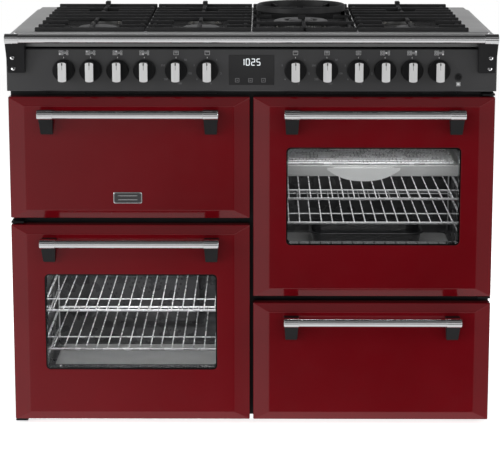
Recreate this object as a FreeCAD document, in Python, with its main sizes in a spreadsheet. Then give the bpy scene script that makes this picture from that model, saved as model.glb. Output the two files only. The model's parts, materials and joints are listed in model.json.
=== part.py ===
import FreeCAD, Part
import os
import re
import Sketcher

# A freestanding gas range, 1100 mm wide: seven burner hob, grill, two ovens and a storage drawer.
# X runs to the right, Y to the back and Z up. The origin is on the floor, under the middle of the box.

Vector = FreeCAD.Vector
doc = FreeCAD.newDocument("gas_range")
sheet = doc.addObject("Spreadsheet::Sheet", "Sizes")
scratch = doc.addObject("Spreadsheet::Sheet", "Worked")

SIZES = (
    ("overall_half", 550, "half the width over the fascia"),
    ("body_half", 548, "half the width over the side panels"),
    ("front_y", -327, "front of the handles and the rail"),
    ("face_y", -273, "front face of the doors and the fascia"),
    ("frame_y", -225, "front plane of the front frame"),
    ("back_y", 327, "rear edge of the side panels"),
    ("back_inset", 16, "back panel ahead of the rear edge"),
    ("body_bottom", 12, "underside of the base frame"),
    ("sheet_gauge", 1.2, "thickness of cases, liners and the tray"),
    ("frame_gauge", 3, "thickness of the front frame"),
    ("door_gauge", 1.5, "thickness of door fronts and liners"),
    ("door_outer", 549, "outer edge of the doors from the middle"),
    ("column_gap", 4, "half the gap between the two columns of doors"),
    ("door_gap", 16, "gap between the doors of one column"),
    ("small_door", 279, "height of the grill door and the drawer front"),
    ("big_door", 462, "height of the oven doors"),
    ("door_depth", 34, "depth of a pressed door front"),
    ("liner_depth", 10, "depth of a door liner"),
    ("liner_inset", 12, "door liner inside the door's edge"),
    ("bevel_depth", 9, "depth of the bevel round a door"),
    ("bevel_side", 36, "width of the bevel at a door's sides"),
    ("bevel_end", 20, "height of the bevel at a door's top and bottom"),
    ("window_side", 75, "door edge to the window"),
    ("window_rise", 122, "door bottom to the window"),
    ("window_height", 226, "height of the window"),
    ("pane_lap", 10, "glass behind the front round the window"),
    ("pane_gauge", 4, "thickness of a pane"),
    ("side_pivot_in", 8, "door edge to the upright hinge axis"),
    ("side_pivot_y", -249, "upright hinge axis, front to back"),
    ("drop_pivot_up", 20, "grill door bottom to its hinge axis"),
    ("drop_pivot_y", -247, "grill hinge axis, front to back"),
    ("pin_radius", 4, "radius of hinge pins and control shafts"),
    ("running_gap", 0.05, "radial clearance of a pin in its bearing"),
    ("hinge_plate", 4, "thickness of a hinge bracket"),
    ("hinge_width", 28, "width of a hinge bracket"),
    ("handle_side", 70, "door edge to the handle's end"),
    ("handle_drop", 33, "door top to the handle's axis"),
    ("bar_radius", 9.8, "radius of a handle bar"),
    ("sleeve_radius", 11, "radius of the sleeves on a handle bar"),
    ("sleeve_length", 35, "length of the sleeves"),
    ("bracket_drop", 50, "handle axis to the bracket's foot"),
    ("bracket_width", 32, "width of a handle bracket"),
    ("fascia_bottom", 783, "bottom of the fascia"),
    ("fascia_top", 879, "top of the fascia"),
    ("knob_height", 831, "height of the knobs' axes"),
    ("knob_gap", 6, "fascia to the knob's skirt"),
    ("skirt_radius", 25, "radius of a knob's skirt"),
    ("skirt_depth", 8, "thickness of a knob's skirt"),
    ("grip_width", 20, "width of a knob's grip"),
    ("grip_height", 46, "length of a knob's grip"),
    ("grip_depth", 29, "depth of a knob's grip"),
    ("shaft_hole", 7, "radius of the shaft holes in the fascia"),
    ("control_y", -236, "front of the taps and switches"),
    ("glass_half", 51, "half the width of the display glass"),
    ("glass_bottom", 797.5, "bottom of the display glass"),
    ("glass_top", 865.5, "top of the display glass"),
    ("button_x", 464, "push button, to the right"),
    ("button_z", 816, "height of the push button"),
    ("button_radius", 5.5, "radius of the push button"),
    ("rail_radius", 9.5, "radius of the front rail"),
    ("rail_half", 547, "half the length of the front rail"),
    ("rail_height", 906, "height of the rail's axis"),
    ("rail_sleeve", 11.5, "radius of the rail's end sleeves"),
    ("rail_bracket", 31, "width of a rail bracket"),
    ("apron_half", 546, "half the width of the tray's apron"),
    ("apron_front", -265, "front of the tray's apron"),
    ("apron_back", 308, "back of the tray's apron"),
    ("apron_bottom", 883, "bottom of the tray's apron"),
    ("apron_top", 909, "top of the tray's apron"),
    ("tray_half", 535, "half the width of the raised tray"),
    ("tray_front", -259, "front of the raised tray"),
    ("tray_back", 304, "back of the raised tray"),
    ("tray_top", 915, "top of the tray"),
    ("well_depth", 27, "depth of the wells"),
    ("support_outer", 489, "outer edge of the outer pan supports"),
    ("support_split", 239, "edge between two pan supports"),
    ("support_front", -249, "front of the pan supports"),
    ("support_back", 299, "back of the pan supports"),
    ("support_gap", 1.5, "pan support inside its nominal edge"),
    ("support_top", 924, "top of the pan supports"),
    ("support_bar", 10, "width of a pan support's bar"),
    ("horn_height", 18, "horn above the pan support"),
    ("wok_radius", 106, "outer radius of the wok ring"),
    ("wok_wall", 12, "wall of the wok ring"),
    ("wok_rise", 12, "wok ring's underside above the pan support"),
    ("wok_band", 15, "height of the wok ring"),
    ("cavity_out", 500, "outer wall of an oven from the middle"),
    ("cavity_in", 53, "inner wall of an oven from the middle"),
    ("cavity_back", 242, "back of the oven liners"),
    ("left_floor", 50, "floor of the left oven"),
    ("main_floor", 345, "floor of the main oven"),
    ("oven_height", 390, "height of an oven"),
    ("grill_floor", 530, "floor of the grill cavity"),
    ("grill_height", 205, "height of the grill cavity"),
    ("rack_front", -193, "front bar of a rack"),
    ("rack_back", 195, "back bar of a rack"),
    ("rack_wire", 1.6, "half the thickness of a rack's wires"),
    ("rack_frame", 3, "half the thickness of a rack's frame"),
    ("rung_half", 2, "half the thickness of a rack runner"),
    ("drawer_wall", 30, "drawer box side from the drawer front's edge"),
    ("drawer_back", 190, "back of the drawer box"),
    ("foot_x", 501, "levelling feet, from the middle"),
    ("foot_front", -200, "front feet"),
    ("foot_rear", 270, "rear feet"),
    ("foot_radius", 19, "radius of a foot's pad"),
    ("stud_radius", 5, "radius of a foot's stud"),
    ("inlet_radius", 10.4775, "radius of the gas inlet nipple"),
    ("inlet_pipe", 8, "radius of the pipe to the gas inlet"),
    ("inlet_x", 505, "gas inlet, to the right"),
    ("vent_low", 771, "bottom of the cooling slots under the fascia"),
    ("vent_high", 780, "top of the cooling slots"),
    ("vent_width", 86, "width of a cooling slot"),
    ("fan_x", -276.5, "oven fan, from the middle"),
    ("fan_z", 245, "height of the oven fan"),
)
for row, (alias, size, note) in enumerate(SIZES, start=1):
    sheet.set(f"A{row}", note)
    sheet.set(f"B{row}", str(size))
    sheet.setAlias(f"B{row}", alias)
doc.recompute()

# Control axes along the fascia, from the left: four hob taps, grill and left oven controls, the display,
# three main oven controls, three hob taps.
TAP_X = (-421, -360.5, -300, -240, 299, 359.5, 420)
SWITCH_X = (-169, -99, 98.5, 169, 239.5)

# Burner places: x, y, cap radius.
BURNERS = (
    (-357, -113, 46),
    (-357, 157, 35),
    (-117, -113, 43),
    (-117, 157, 35),
    (116, 27, 65),
    (356, -113, 24),
    (356, 157, 35),
)

nodes = []


def link(text):
    """Puts the sheet's name in front of each alias of an expression."""
    return re.sub(r"[a-z]\w+", lambda word: "Sizes." + word.group(), str(text))


def number(text):
    """The value of an expression of sheet aliases."""
    scratch.set("A1", "=" + link(text))
    scratch.recompute()
    return float(scratch.get("A1"))


def node(piece, name):
    """Marks an object as a sub-part and gives it the sub-part's name."""
    piece.Label = name
    nodes.append(piece)
    return piece


def bind(piece, prop, text):
    piece.setExpression(prop, link(text))


def block(name, x, y, z):
    """A box between low and high expressions on each axis."""
    box = doc.addObject("Part::Box", name)
    for prop, axis, (low, high) in (("Length", "x", x), ("Width", "y", y), ("Height", "z", z)):
        bind(box, prop, f"({high}) - ({low})")
        bind(box, f"Placement.Base.{axis}", low)
    return box


TURNS = {
    "x": FreeCAD.Rotation(Vector(0, 1, 0), 90),
    "y": FreeCAD.Rotation(Vector(1, 0, 0), -90),
    "z": FreeCAD.Rotation(),
}


def rod(name, radius, x, y, z):
    """A cylinder along the one axis that is given as a low and high pair."""
    place = {"x": x, "y": y, "z": z}
    along = next(axis for axis in "xyz" if isinstance(place[axis], tuple))
    low, high = place[along]
    place[along] = low
    cylinder = doc.addObject("Part::Cylinder", name)
    cylinder.Placement = FreeCAD.Placement(Vector(), TURNS[along])
    bind(cylinder, "Radius", radius)
    bind(cylinder, "Height", f"({high}) - ({low})")
    for axis in "xyz":
        bind(cylinder, f"Placement.Base.{axis}", place[axis])
    return cylinder


def join(name, *pieces):
    fused = doc.addObject("Part::MultiFuse", name)
    fused.Shapes = list(pieces)
    return fused


def group(name, *pieces):
    """Separate solids under one name."""
    compound = doc.addObject("Part::Compound", name)
    compound.Links = list(pieces)
    return compound


def cut(name, base, *tools):
    result = doc.addObject("Part::Cut", name)
    result.Base = base
    result.Tool = tools[0] if len(tools) == 1 else join(name + "_tools", *tools)
    return result


def feature(name, shape):
    """A shape made with Part's own functions from the sheet's numbers."""
    piece = doc.addObject("Part::Feature", name)
    piece.Shape = shape
    return piece


def mirrored(pair):
    """A low and high pair on the other side of the middle."""
    low, high = pair
    return (f"-({high})", f"-({low})")


# ---------------------------------------------------------------- sketches and bodies

def sketch_on(body, role, name, rise="0"):
    """A sketch on one of a body's origin planes, moved along the plane's normal."""
    sketch = body.newObject("Sketcher::SketchObject", name)
    plane = next(part for part in body.Origin.OriginFeatures if part.Role == role)
    sketch.AttachmentSupport = [(plane, "")]
    sketch.MapMode = "FlatFace"
    bind(sketch, "AttachmentOffset.Base.z", rise)
    return sketch


def pin_point(sketch, line, across, up):
    """Ties the first end of a line to its distances from the sketch's origin."""
    for kind, axis, text in (("DistanceX", -2, across), ("DistanceY", -1, up)):
        distance = number(text)
        if abs(distance) < 1e-9:
            sketch.addConstraint(Sketcher.Constraint("PointOnObject", line, 1, axis))
            continue
        index = sketch.addConstraint(Sketcher.Constraint(kind, -1, 1, line, 1, distance))
        sketch.setExpression(f"Constraints[{index}]", link(text))


def outline(sketch, points):
    """A closed outline through points given as pairs of expressions."""
    spots = [Vector(number(across), number(up), 0) for across, up in points]
    count = len(spots)
    for index in range(count):
        sketch.addGeometry(Part.LineSegment(spots[index], spots[(index + 1) % count]), False)
    for index in range(count):
        sketch.addConstraint(Sketcher.Constraint("Coincident", index, 2, (index + 1) % count, 1))
    for index, (across, up) in enumerate(points):
        pin_point(sketch, index, across, up)


def circle(sketch, radius):
    """A circle about the sketch's origin."""
    index = sketch.addGeometry(Part.Circle(Vector(), Vector(0, 0, 1), number(radius)), False)
    sketch.addConstraint(Sketcher.Constraint("Coincident", index, 3, -1, 1))
    size = sketch.addConstraint(Sketcher.Constraint("Radius", index, number(radius)))
    sketch.setExpression(f"Constraints[{size}]", link(radius))


def extrude(body, kind, name, sketch, length, backwards=False):
    """A Pad or a Pocket of a sketch."""
    step = body.newObject(f"PartDesign::{kind}", name)
    step.Profile = sketch
    step.Reversed = backwards
    bind(step, "Length", length)
    sketch.Visibility = False
    return step


def turned(name, points):
    """A body of revolution about its own Z axis, from a profile of radius and height."""
    body = doc.addObject("PartDesign::Body", name)
    profile = sketch_on(body, "XZ_Plane", name + "_profile")
    outline(profile, points)
    spin = body.newObject("PartDesign::Revolution", name + "_spin")
    spin.Profile = profile
    spin.ReferenceAxis = (profile, ["V_Axis"])
    spin.Angle = 360
    return body


def put(body, x, y, z, rotation=None):
    """Places a body; the three places are expressions."""
    if rotation is not None:
        body.Placement = FreeCAD.Placement(Vector(), rotation)
    for axis, text in zip("xyz", (x, y, z)):
        bind(body, f"Placement.Base.{axis}", text)
    return body


# ---------------------------------------------------------------- case

BODY_X = ("-body_half", "body_half")
REAR_FACE = "back_y - back_inset"
BEHIND_FRAME = "frame_y + frame_gauge"
OVEN_X = {"left": ("-cavity_out", "-cavity_in"), "main": ("cavity_in", "cavity_out")}
VENT_X = (-422, -322, -222, -122, 122, 222, 322, 422)
FEET = [(side, row) for side in ("-foot_x", "foot_x") for row in ("foot_front", "foot_rear")]


# Undersides of the doors, edges of each column of doors and the grill door's hinge.
LOW = "body_bottom"
GRILL_BOTTOM = "body_bottom + big_door + door_gap"
MAIN_BOTTOM = "body_bottom + small_door + door_gap"
LEFT_COLUMN = ("-door_outer", "-column_gap")
RIGHT_COLUMN = ("column_gap", "door_outer")
GRILL_PIVOT_Z = f"{GRILL_BOTTOM} + drop_pivot_up"


def side_panels():
    right = ("body_half - sheet_gauge", "body_half")
    panels = [
        block(f"side_panel_{index}", span, (BEHIND_FRAME, "back_y"), ("body_bottom", "apron_bottom"))
        for index, span in enumerate((mirrored(right), right))
    ]
    node(group("side_panels", *panels), "side_panels")


def drawer_rail(name, span, flange):
    """A folded rail that the drawer's side flange runs on."""
    rise = "body_bottom + sheet_gauge"
    web = block(name + "_web", span, (BEHIND_FRAME, "drawer_back + 20"), (rise, "92"))
    top = block(name + "_top", flange, (BEHIND_FRAME, "drawer_back + 20"), ("90", "92"))
    return join(name, web, top)


def base_frame():
    inner = ("-body_half + sheet_gauge", "body_half - sheet_gauge")
    depth = (BEHIND_FRAME, REAR_FACE)
    plate = block("base_plate", inner, depth, ("body_bottom", "body_bottom + sheet_gauge"))
    near = "column_gap + drawer_wall"
    far = "door_outer - drawer_wall"
    rails = (
        drawer_rail("rail_near", (f"{near} - 6", f"{near} - 4"), (f"{near} - 18", f"{near} - 4")),
        drawer_rail("rail_far", (f"{far} + 4", f"{far} + 6"), (f"{far} + 4", f"{far} + 18")),
    )
    holes = [
        rod(f"stud_hole_{index}", "stud_radius + 0.3", x, y, ("body_bottom - 1", "body_bottom + 3"))
        for index, (x, y) in enumerate(FEET)
    ]
    node(cut("base_frame", join("base_folded", plate, *rails), *holes), "base_frame")


def back_panel():
    inner = ("-body_half + sheet_gauge", "body_half - sheet_gauge")
    skin = (REAR_FACE, REAR_FACE + " + sheet_gauge")
    sheet_metal = block("back_skin", inner, skin, ("body_bottom", "apron_top - 4"))
    ledge = block("back_ledge", inner, ("apron_back", REAR_FACE), ("apron_top - 5.2", "apron_top - 4"))
    through = (f"{REAR_FACE} - 2", f"{REAR_FACE} + 4")
    pipe_hole = rod("inlet_hole", "inlet_pipe + 1", "inlet_x", through, "knob_height")
    box_y = (f"{REAR_FACE} + sheet_gauge", "back_y - 1")
    terminal = block("terminal_box", ("-520", "-430"), box_y, ("600", "690"))
    gland = rod("cable_gland_bore", "7", "-475", box_y, "622")
    panel = cut("back_sheet", join("back_folded", sheet_metal, ledge), pipe_hole)
    node(group("back_panel", panel, cut("terminal_cover", terminal, gland)), "back_panel")


def front_frame():
    depth = ("frame_y", BEHIND_FRAME)
    plate = block("frame_plate", BODY_X, depth, ("body_bottom", "fascia_bottom"))
    through = ("frame_y - 1", BEHIND_FRAME + " + 1")
    mouths = [
        block("left_mouth", OVEN_X["left"], through, ("left_floor", "left_floor + oven_height")),
        block("main_mouth", OVEN_X["main"], through, ("main_floor", "main_floor + oven_height")),
        block("grill_mouth", OVEN_X["left"], through, ("grill_floor", "grill_floor + grill_height")),
        block("drawer_mouth", ("12", "541"), through, ("22", "280")),
    ]
    for index, middle in enumerate(VENT_X):
        span = (f"{middle} - vent_width / 2", f"{middle} + vent_width / 2")
        mouths.append(block(f"vent_{index}", span, through, ("vent_low", "vent_high")))
    node(cut("front_frame", plate, *mouths), "front_frame")


def levelling_feet():
    profile = (
        ("0", "0"),
        ("foot_radius", "0"),
        ("foot_radius", "3"),
        ("foot_radius - 5", "body_bottom"),
        ("stud_radius", "body_bottom"),
        ("stud_radius", "body_bottom + 14"),
        ("0", "body_bottom + 14"),
    )
    feet = [put(turned(f"foot_{index}", profile), x, y, "0") for index, (x, y) in enumerate(FEET)]
    node(group("levelling_feet", *feet), "levelling_feet")


def hinge_arm(name, side, plate_z, pin_z):
    """A side-hung door's bracket: a plate in the gap over or under the door, with its pin."""
    span = ("door_outer - hinge_width", "door_outer")
    if side < 0:
        span = mirrored(span)
    plate = block(name + "_plate", span, ("side_pivot_y - 9", "frame_y"), plate_z)
    pin_x = f"{side} * (door_outer - side_pivot_in)"
    return join(name, plate, rod(name + "_pin", "pin_radius", pin_x, "side_pivot_y", pin_z))


def under_arm(name, side):
    """The lowest bracket also has a heel that bolts up under the base frame."""
    span = ("door_outer - hinge_width", "body_half - 2")
    if side < 0:
        span = mirrored(span)
    arm = hinge_arm(name, side, ("5.5", "9.5"), ("9.5", "body_bottom + 12"))
    heel = block(name + "_heel", span, ("frame_y", "frame_y + 20"), ("5.5", "body_bottom"))
    return join(name + "_heeled", arm, heel)


def drop_arm(name, side, edge):
    """The grill door's bracket: a tab that reaches into the door, with a sideways pin."""
    tab = (f"{edge} + {side} * 17 - 3", f"{edge} + {side} * 17 + 3")
    pin = (tab[1], f"{tab[1]} + 8") if side > 0 else (f"{tab[0]} - 8", tab[0])
    height = (f"{GRILL_PIVOT_Z} - 8", f"{GRILL_PIVOT_Z} + 8")
    plate = block(name + "_tab", tab, ("drop_pivot_y - 8", "frame_y"), height)
    return join(name, plate, rod(name + "_pin", "pin_radius", pin, "drop_pivot_y", GRILL_PIVOT_Z))


def hinge_brackets():
    arms = []
    for name, side, bottom in (("left", -1, LOW), ("main", 1, MAIN_BOTTOM)):
        top = f"{bottom} + big_door"
        over = (f"{top} + 2.5", f"{top} + 2.5 + hinge_plate")
        arms.append(hinge_arm(name + "_over", side, over, (f"{top} - 12", f"{top} + 2.5")))
    below = (f"{MAIN_BOTTOM} - 2.5 - hinge_plate", f"{MAIN_BOTTOM} - 2.5")
    arms.append(hinge_arm("main_under", 1, below, (f"{MAIN_BOTTOM} - 2.5", f"{MAIN_BOTTOM} + 12")))
    arms.append(under_arm("left_under", -1))
    arms.append(drop_arm("grill_near", 1, "-door_outer"))
    arms.append(drop_arm("grill_far", -1, "-column_gap"))
    node(group("hinge_brackets", *arms), "hinge_brackets")


# ---------------------------------------------------------------- doors and drawer

def bevelled_box(name, column, bottom, height, start, inset, depth):
    """A door's outer form: a flat face, a bevel all round and straight sides behind it.

    start is the face's place front to back, inset shrinks the sides, depth is the straight part's end.
    """
    left, right = column
    width = f"({right}) - ({left})"
    bevel = doc.addObject("Part::Wedge", name + "_bevel")
    sizes = {
        "Xmin": "bevel_side",
        "Xmax": f"{width} - bevel_side",
        "Zmin": "bevel_end",
        "Zmax": f"{height} - bevel_end",
        "Ymin": "0",
        "Ymax": "bevel_depth",
        "X2min": inset,
        "X2max": f"{width} - {inset}",
        "Z2min": inset,
        "Z2max": f"{height} - {inset}",
    }
    for prop, text in sizes.items():
        bind(bevel, prop, text)
    for axis, text in (("x", left), ("y", start), ("z", bottom)):
        bind(bevel, f"Placement.Base.{axis}", text)
    span = (f"{left} + {inset}", f"{right} - {inset}")
    rise = (f"{bottom} + {inset}", f"{bottom} + {height} - {inset}")
    straight = block(name + "_sides", span, (f"{start} + bevel_depth", depth), rise)
    return join(name, bevel, straight)


BORE_RADIUS = "pin_radius + running_gap"
DOOR_BACK = "face_y + door_depth"
LINER_BACK = "face_y + door_depth + liner_depth"


def window_block(name, column, bottom, depth, lap="0"):
    left, right = column
    span = (f"{left} + window_side - {lap}", f"{right} - window_side + {lap}")
    low = f"{bottom} + window_rise"
    return block(name, span, depth, (f"{low} - {lap}", f"{low} + window_height + {lap}"))


def pressed_front(name, column, bottom, height):
    """A hollow pressed door front, open at the back."""
    outer = bevelled_box(name + "_outer", column, bottom, height, "face_y", "0", DOOR_BACK)
    start = "face_y + door_gauge"
    inner = bevelled_box(name + "_inner", column, bottom, height, start, "door_gauge", DOOR_BACK + " + 1")
    return cut(name + "_shell", outer, inner)


def door_pan(name, column, bottom, height):
    """The shallow pan that closes a door's back."""
    left, right = column
    solid = ("0", (DOOR_BACK, LINER_BACK))
    hollow = ("door_gauge", (DOOR_BACK + " - 1", LINER_BACK + " - door_gauge"))
    pans = []
    for extra, depth in (solid, hollow):
        inset = f"liner_inset + {extra}"
        span = (f"{left} + {inset}", f"{right} - {inset}")
        rise = (f"{bottom} + {inset}", f"{bottom} + {height} - {inset}")
        pans.append(block(f"{name}_{len(pans)}", span, depth, rise))
    return cut(name + "_pan", *pans)


def wedge_bracket(name, points, length, x, z):
    """A bracket with a wedge outline seen from the side, drawn front to back and up."""
    body = doc.addObject("PartDesign::Body", name)
    side = sketch_on(body, "YZ_Plane", name + "_side")
    outline(side, points)
    extrude(body, "Pad", name + "_pad", side, length)
    return put(body, x, "0", z)


def handle(name, column, top):
    """A bar on two wedge brackets, across the top of a door."""
    left, right = column
    ends = (f"{left} + handle_side", f"{right} - handle_side")
    axis_y = "front_y + sleeve_radius"
    axis_z = f"{top} - handle_drop"
    bar = rod(name + "_tube", "bar_radius", ends, axis_y, axis_z)
    sleeves = [
        rod(name + "_sleeve_0", "sleeve_radius", (ends[0], f"{ends[0]} + sleeve_length"), axis_y, axis_z),
        rod(name + "_sleeve_1", "sleeve_radius", (f"{ends[1]} - sleeve_length", ends[1]), axis_y, axis_z),
    ]
    side = (
        ("face_y", "8"),
        ("front_y + 12", "8"),
        ("front_y + 5", "-6"),
        ("face_y - 8", "-bracket_drop"),
        ("face_y", "-bracket_drop"),
    )
    brackets = []
    for index, x in enumerate((f"{ends[0]} + 1.5", f"{ends[1]} - 1.5 - bracket_width")):
        wedge = wedge_bracket(f"{name}_wedge_{index}", side, "bracket_width", x, axis_z)
        span = (f"{x} - 2", f"{x} + bracket_width + 2")
        saddle = rod(f"{name}_saddle_{index}", "sleeve_radius", span, axis_y, axis_z)
        brackets.append(cut(f"{name}_bracket_{index}", wedge, saddle))
    return group(name, join(name + "_bar", bar, *sleeves), *brackets)


def oven_door(name, column, bottom, side):
    """A side-hung door: hollow front with bearings for its pins, two panes, liner and handle."""
    window = window_block(name + "_window", column, bottom, ("face_y - 1", DOOR_BACK + " + 1"))
    shell = pressed_front(name + "_front", column, bottom, "big_door")
    edge = ("door_outer - 16", "door_outer - 1")
    if side < 0:
        edge = mirrored(edge)
    pin_x = f"{side} * (door_outer - side_pivot_in)"
    bearings = []
    bores = [window]
    for index, level in enumerate((f"{bottom} + 7", f"{bottom} + big_door - 7")):
        depth = ("side_pivot_y - 9", "side_pivot_y + 9")
        bearings.append(block(f"{name}_bearing_{index}", edge, depth, (f"{level} - 6.5", f"{level} + 6.5")))
        bore_z = (f"{level} - 8", f"{level} + 8")
        bores.append(rod(f"{name}_bore_{index}", BORE_RADIUS, pin_x, "side_pivot_y", bore_z))
    node(cut(name + "_panel", join(name + "_whole", shell, *bearings), *bores), name + "_panel")

    outer_pane = ("face_y + door_gauge", "face_y + door_gauge + pane_gauge")
    inner_pane = (f"{LINER_BACK} - door_gauge - pane_gauge", f"{LINER_BACK} - door_gauge")
    panes = [
        window_block(f"{name}_pane_{index}", column, bottom, depth, "pane_lap")
        for index, depth in enumerate((outer_pane, inner_pane))
    ]
    node(group(name + "_panes", *panes), name + "_glass")

    pan = door_pan(name + "_liner", column, bottom, "big_door")
    hole = window_block(name + "_liner_window", column, bottom, (DOOR_BACK, LINER_BACK + " + 1"))
    node(cut(name + "_liner_open", pan, hole), name + "_liner")
    node(handle(name + "_grip", column, f"{bottom} + big_door"), name + "_handle")


def grill_door():
    name = "grill_door"
    shell = pressed_front(name + "_front", LEFT_COLUMN, GRILL_BOTTOM, "small_door")
    pan = door_pan(name + "_liner", LEFT_COLUMN, GRILL_BOTTOM, "small_door")
    notches = []
    slots = []
    bosses = []
    bores = []
    for index, (side, edge) in enumerate(((1, "-door_outer"), (-1, "-column_gap"))):
        arm = (f"{edge} + {side} * 17 - 5", f"{edge} + {side} * 17 + 5")
        edge_y = ("face_y + bevel_depth + 1", DOOR_BACK + " + 1")
        edge_z = (f"{GRILL_BOTTOM} - 1", f"{GRILL_BOTTOM} + 3")
        notches.append(block(f"grill_notch_{index}", arm, edge_y, edge_z))
        back_y = (DOOR_BACK + " - 1", LINER_BACK + " + 1")
        back_z = (f"{GRILL_BOTTOM} + 10", f"{GRILL_PIVOT_Z} + 25")
        slots.append(block(f"grill_slot_{index}", arm, back_y, back_z))
        boss_x = (f"{edge} + {side} * 27.5 - 6.5", f"{edge} + {side} * 27.5 + 6.5")
        boss_y = ("drop_pivot_y - 8", LINER_BACK + " - 1")
        boss_z = (f"{GRILL_PIVOT_Z} - 7", f"{GRILL_PIVOT_Z} + 8")
        bosses.append(block(f"grill_boss_{index}", boss_x, boss_y, boss_z))
        bore_x = (f"{boss_x[0]} - 1", f"{boss_x[1]} + 1")
        bore = rod(f"grill_bore_{index}", BORE_RADIUS, bore_x, "drop_pivot_y", GRILL_PIVOT_Z)
        bores.append(bore)
    node(cut("grill_door_notched", shell, *notches), "grill_door_panel")
    bossed = join("grill_door_bossed", pan, *bosses)
    node(cut("grill_door_bored", bossed, *slots, *bores), "grill_door_liner")
    top = f"{GRILL_BOTTOM} + small_door"
    node(handle("grill_door_grip", LEFT_COLUMN, top), "grill_door_handle")


def drawer():
    node(pressed_front("drawer", RIGHT_COLUMN, LOW, "small_door"), "drawer_front")
    near = "column_gap + drawer_wall"
    far = "door_outer - drawer_wall"
    rise = ("30", "250")
    outer = block("drawer_outer", (near, far), (DOOR_BACK, "drawer_back"), rise)
    inset = ("column_gap + liner_inset", "door_outer - liner_inset")
    closing = block("drawer_closing", inset, (DOOR_BACK, DOOR_BACK + " + sheet_gauge"), ("24", "279"))
    flanges = [
        block(f"drawer_flange_{index}", span, (DOOR_BACK + " + 4", "drawer_back"), ("92.3", "93.5"))
        for index, span in enumerate(((f"{near} - 16", f"{near} + 1"), (f"{far} - 1", f"{far} + 16")))
    ]
    inner = block(
        "drawer_inner",
        (f"{near} + sheet_gauge", f"{far} - sheet_gauge"),
        (DOOR_BACK + " + sheet_gauge", "drawer_back - sheet_gauge"),
        ("30 + sheet_gauge", "251"),
    )
    node(cut("drawer_tray", join("drawer_folded", outer, closing, *flanges), inner), "drawer_box")
    node(handle("drawer_grip", RIGHT_COLUMN, f"{LOW} + small_door"), "drawer_handle")


# ---------------------------------------------------------------- fascia, knobs and rail

def fascia():
    width = ("-overall_half", "overall_half")
    outer = block("fascia_outer", width, ("face_y", "frame_y"), ("fascia_bottom", "fascia_top"))
    inset = "sheet_gauge"
    inner = block(
        "fascia_inner",
        (f"-overall_half + {inset}", f"overall_half - {inset}"),
        (f"face_y + {inset}", "frame_y + 1"),
        (f"fascia_bottom + {inset}", f"fascia_top - {inset}"),
    )
    through = ("face_y - 1", "face_y + 3")
    holes = [
        rod(f"shaft_hole_{index}", "shaft_hole", x, through, "knob_height")
        for index, x in enumerate(TAP_X + SWITCH_X)
    ]
    holes.append(rod("button_hole", "button_radius + 0.4", "button_x", through, "button_z"))
    rise = ("glass_bottom - 0.3", "glass_top + 0.3")
    holes.append(block("glass_hole", ("-glass_half - 0.3", "glass_half + 0.3"), through, rise))
    node(cut("fascia", outer, inner, *holes), "fascia_panel")
    width = ("-glass_half", "glass_half")
    glass = block("glass_plate", width, ("face_y - 1", "face_y + 3"), ("glass_bottom", "glass_top"))
    node(glass, "display_glass")


TO_FRONT = FreeCAD.Rotation(Vector(1, 0, 0), 90)


def knob(name, x, shaft=False):
    """A skirt disc with a bar grip; a switch's knob has its own shaft, a tap's knob has a bore."""
    body = turned(name, (
        ("0", "0"),
        ("skirt_radius", "0"),
        ("skirt_radius", "skirt_depth - 1.5"),
        ("skirt_radius - 1.5", "skirt_depth"),
        ("0", "skirt_depth"),
    ))
    grip = sketch_on(body, "XY_Plane", name + "_grip_outline", "skirt_depth - 1")
    half, tall = "grip_width / 2", "grip_height / 2"
    outline(grip, (
        (f"-{half}", f"-{tall} + 2"),
        ("0", f"-{tall}"),
        (half, f"-{tall} + 2"),
        (half, f"{tall} - 2"),
        ("0", tall),
        (f"-{half}", f"{tall} - 2"),
    ))
    extrude(body, "Pad", name + "_grip", grip, "grip_depth + 1")
    bore = sketch_on(body, "XY_Plane", name + "_shaft_circle")
    if shaft:
        circle(bore, "pin_radius")
        extrude(body, "Pad", name + "_shaft", bore, "control_y + 18 - face_y + knob_gap", True)
    else:
        circle(bore, "pin_radius + running_gap")
        extrude(body, "Pocket", name + "_bore", bore, "20", True)
    put(body, str(x), "face_y - knob_gap", "knob_height", TO_FRONT)
    return node(body, name)


def knobs():
    for index, x in enumerate(TAP_X, start=1):
        knob(f"hob_knob_{index}", x)
        name = f"spindle_{index}"
        length = ("face_y - knob_gap - 19", "control_y + 22")
        shaft = rod(name + "_shaft", "pin_radius", str(x), length, "knob_height")
        ring = ("face_y + 14", "face_y + 18")
        collar = rod(name + "_collar", "pin_radius + 2", str(x), ring, "knob_height")
        node(join(name + "_whole", shaft, collar), f"tap_spindle_{index}")
    names = ("left_oven_knob", "grill_knob", "main_grill_knob", "main_heat_knob", "main_mode_knob")
    for name, x in zip(names, SWITCH_X):
        knob(name, x, shaft=True)


def ignition_button():
    shank = rod("button_shank", "button_radius", "button_x", ("face_y - 3", "face_y + 12"), "button_z")
    flange = rod("button_flange", "button_radius + 2", "button_x", ("face_y + 9", "face_y + 12"), "button_z")
    node(join("button_whole", shank, flange), "ignition_button")


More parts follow.
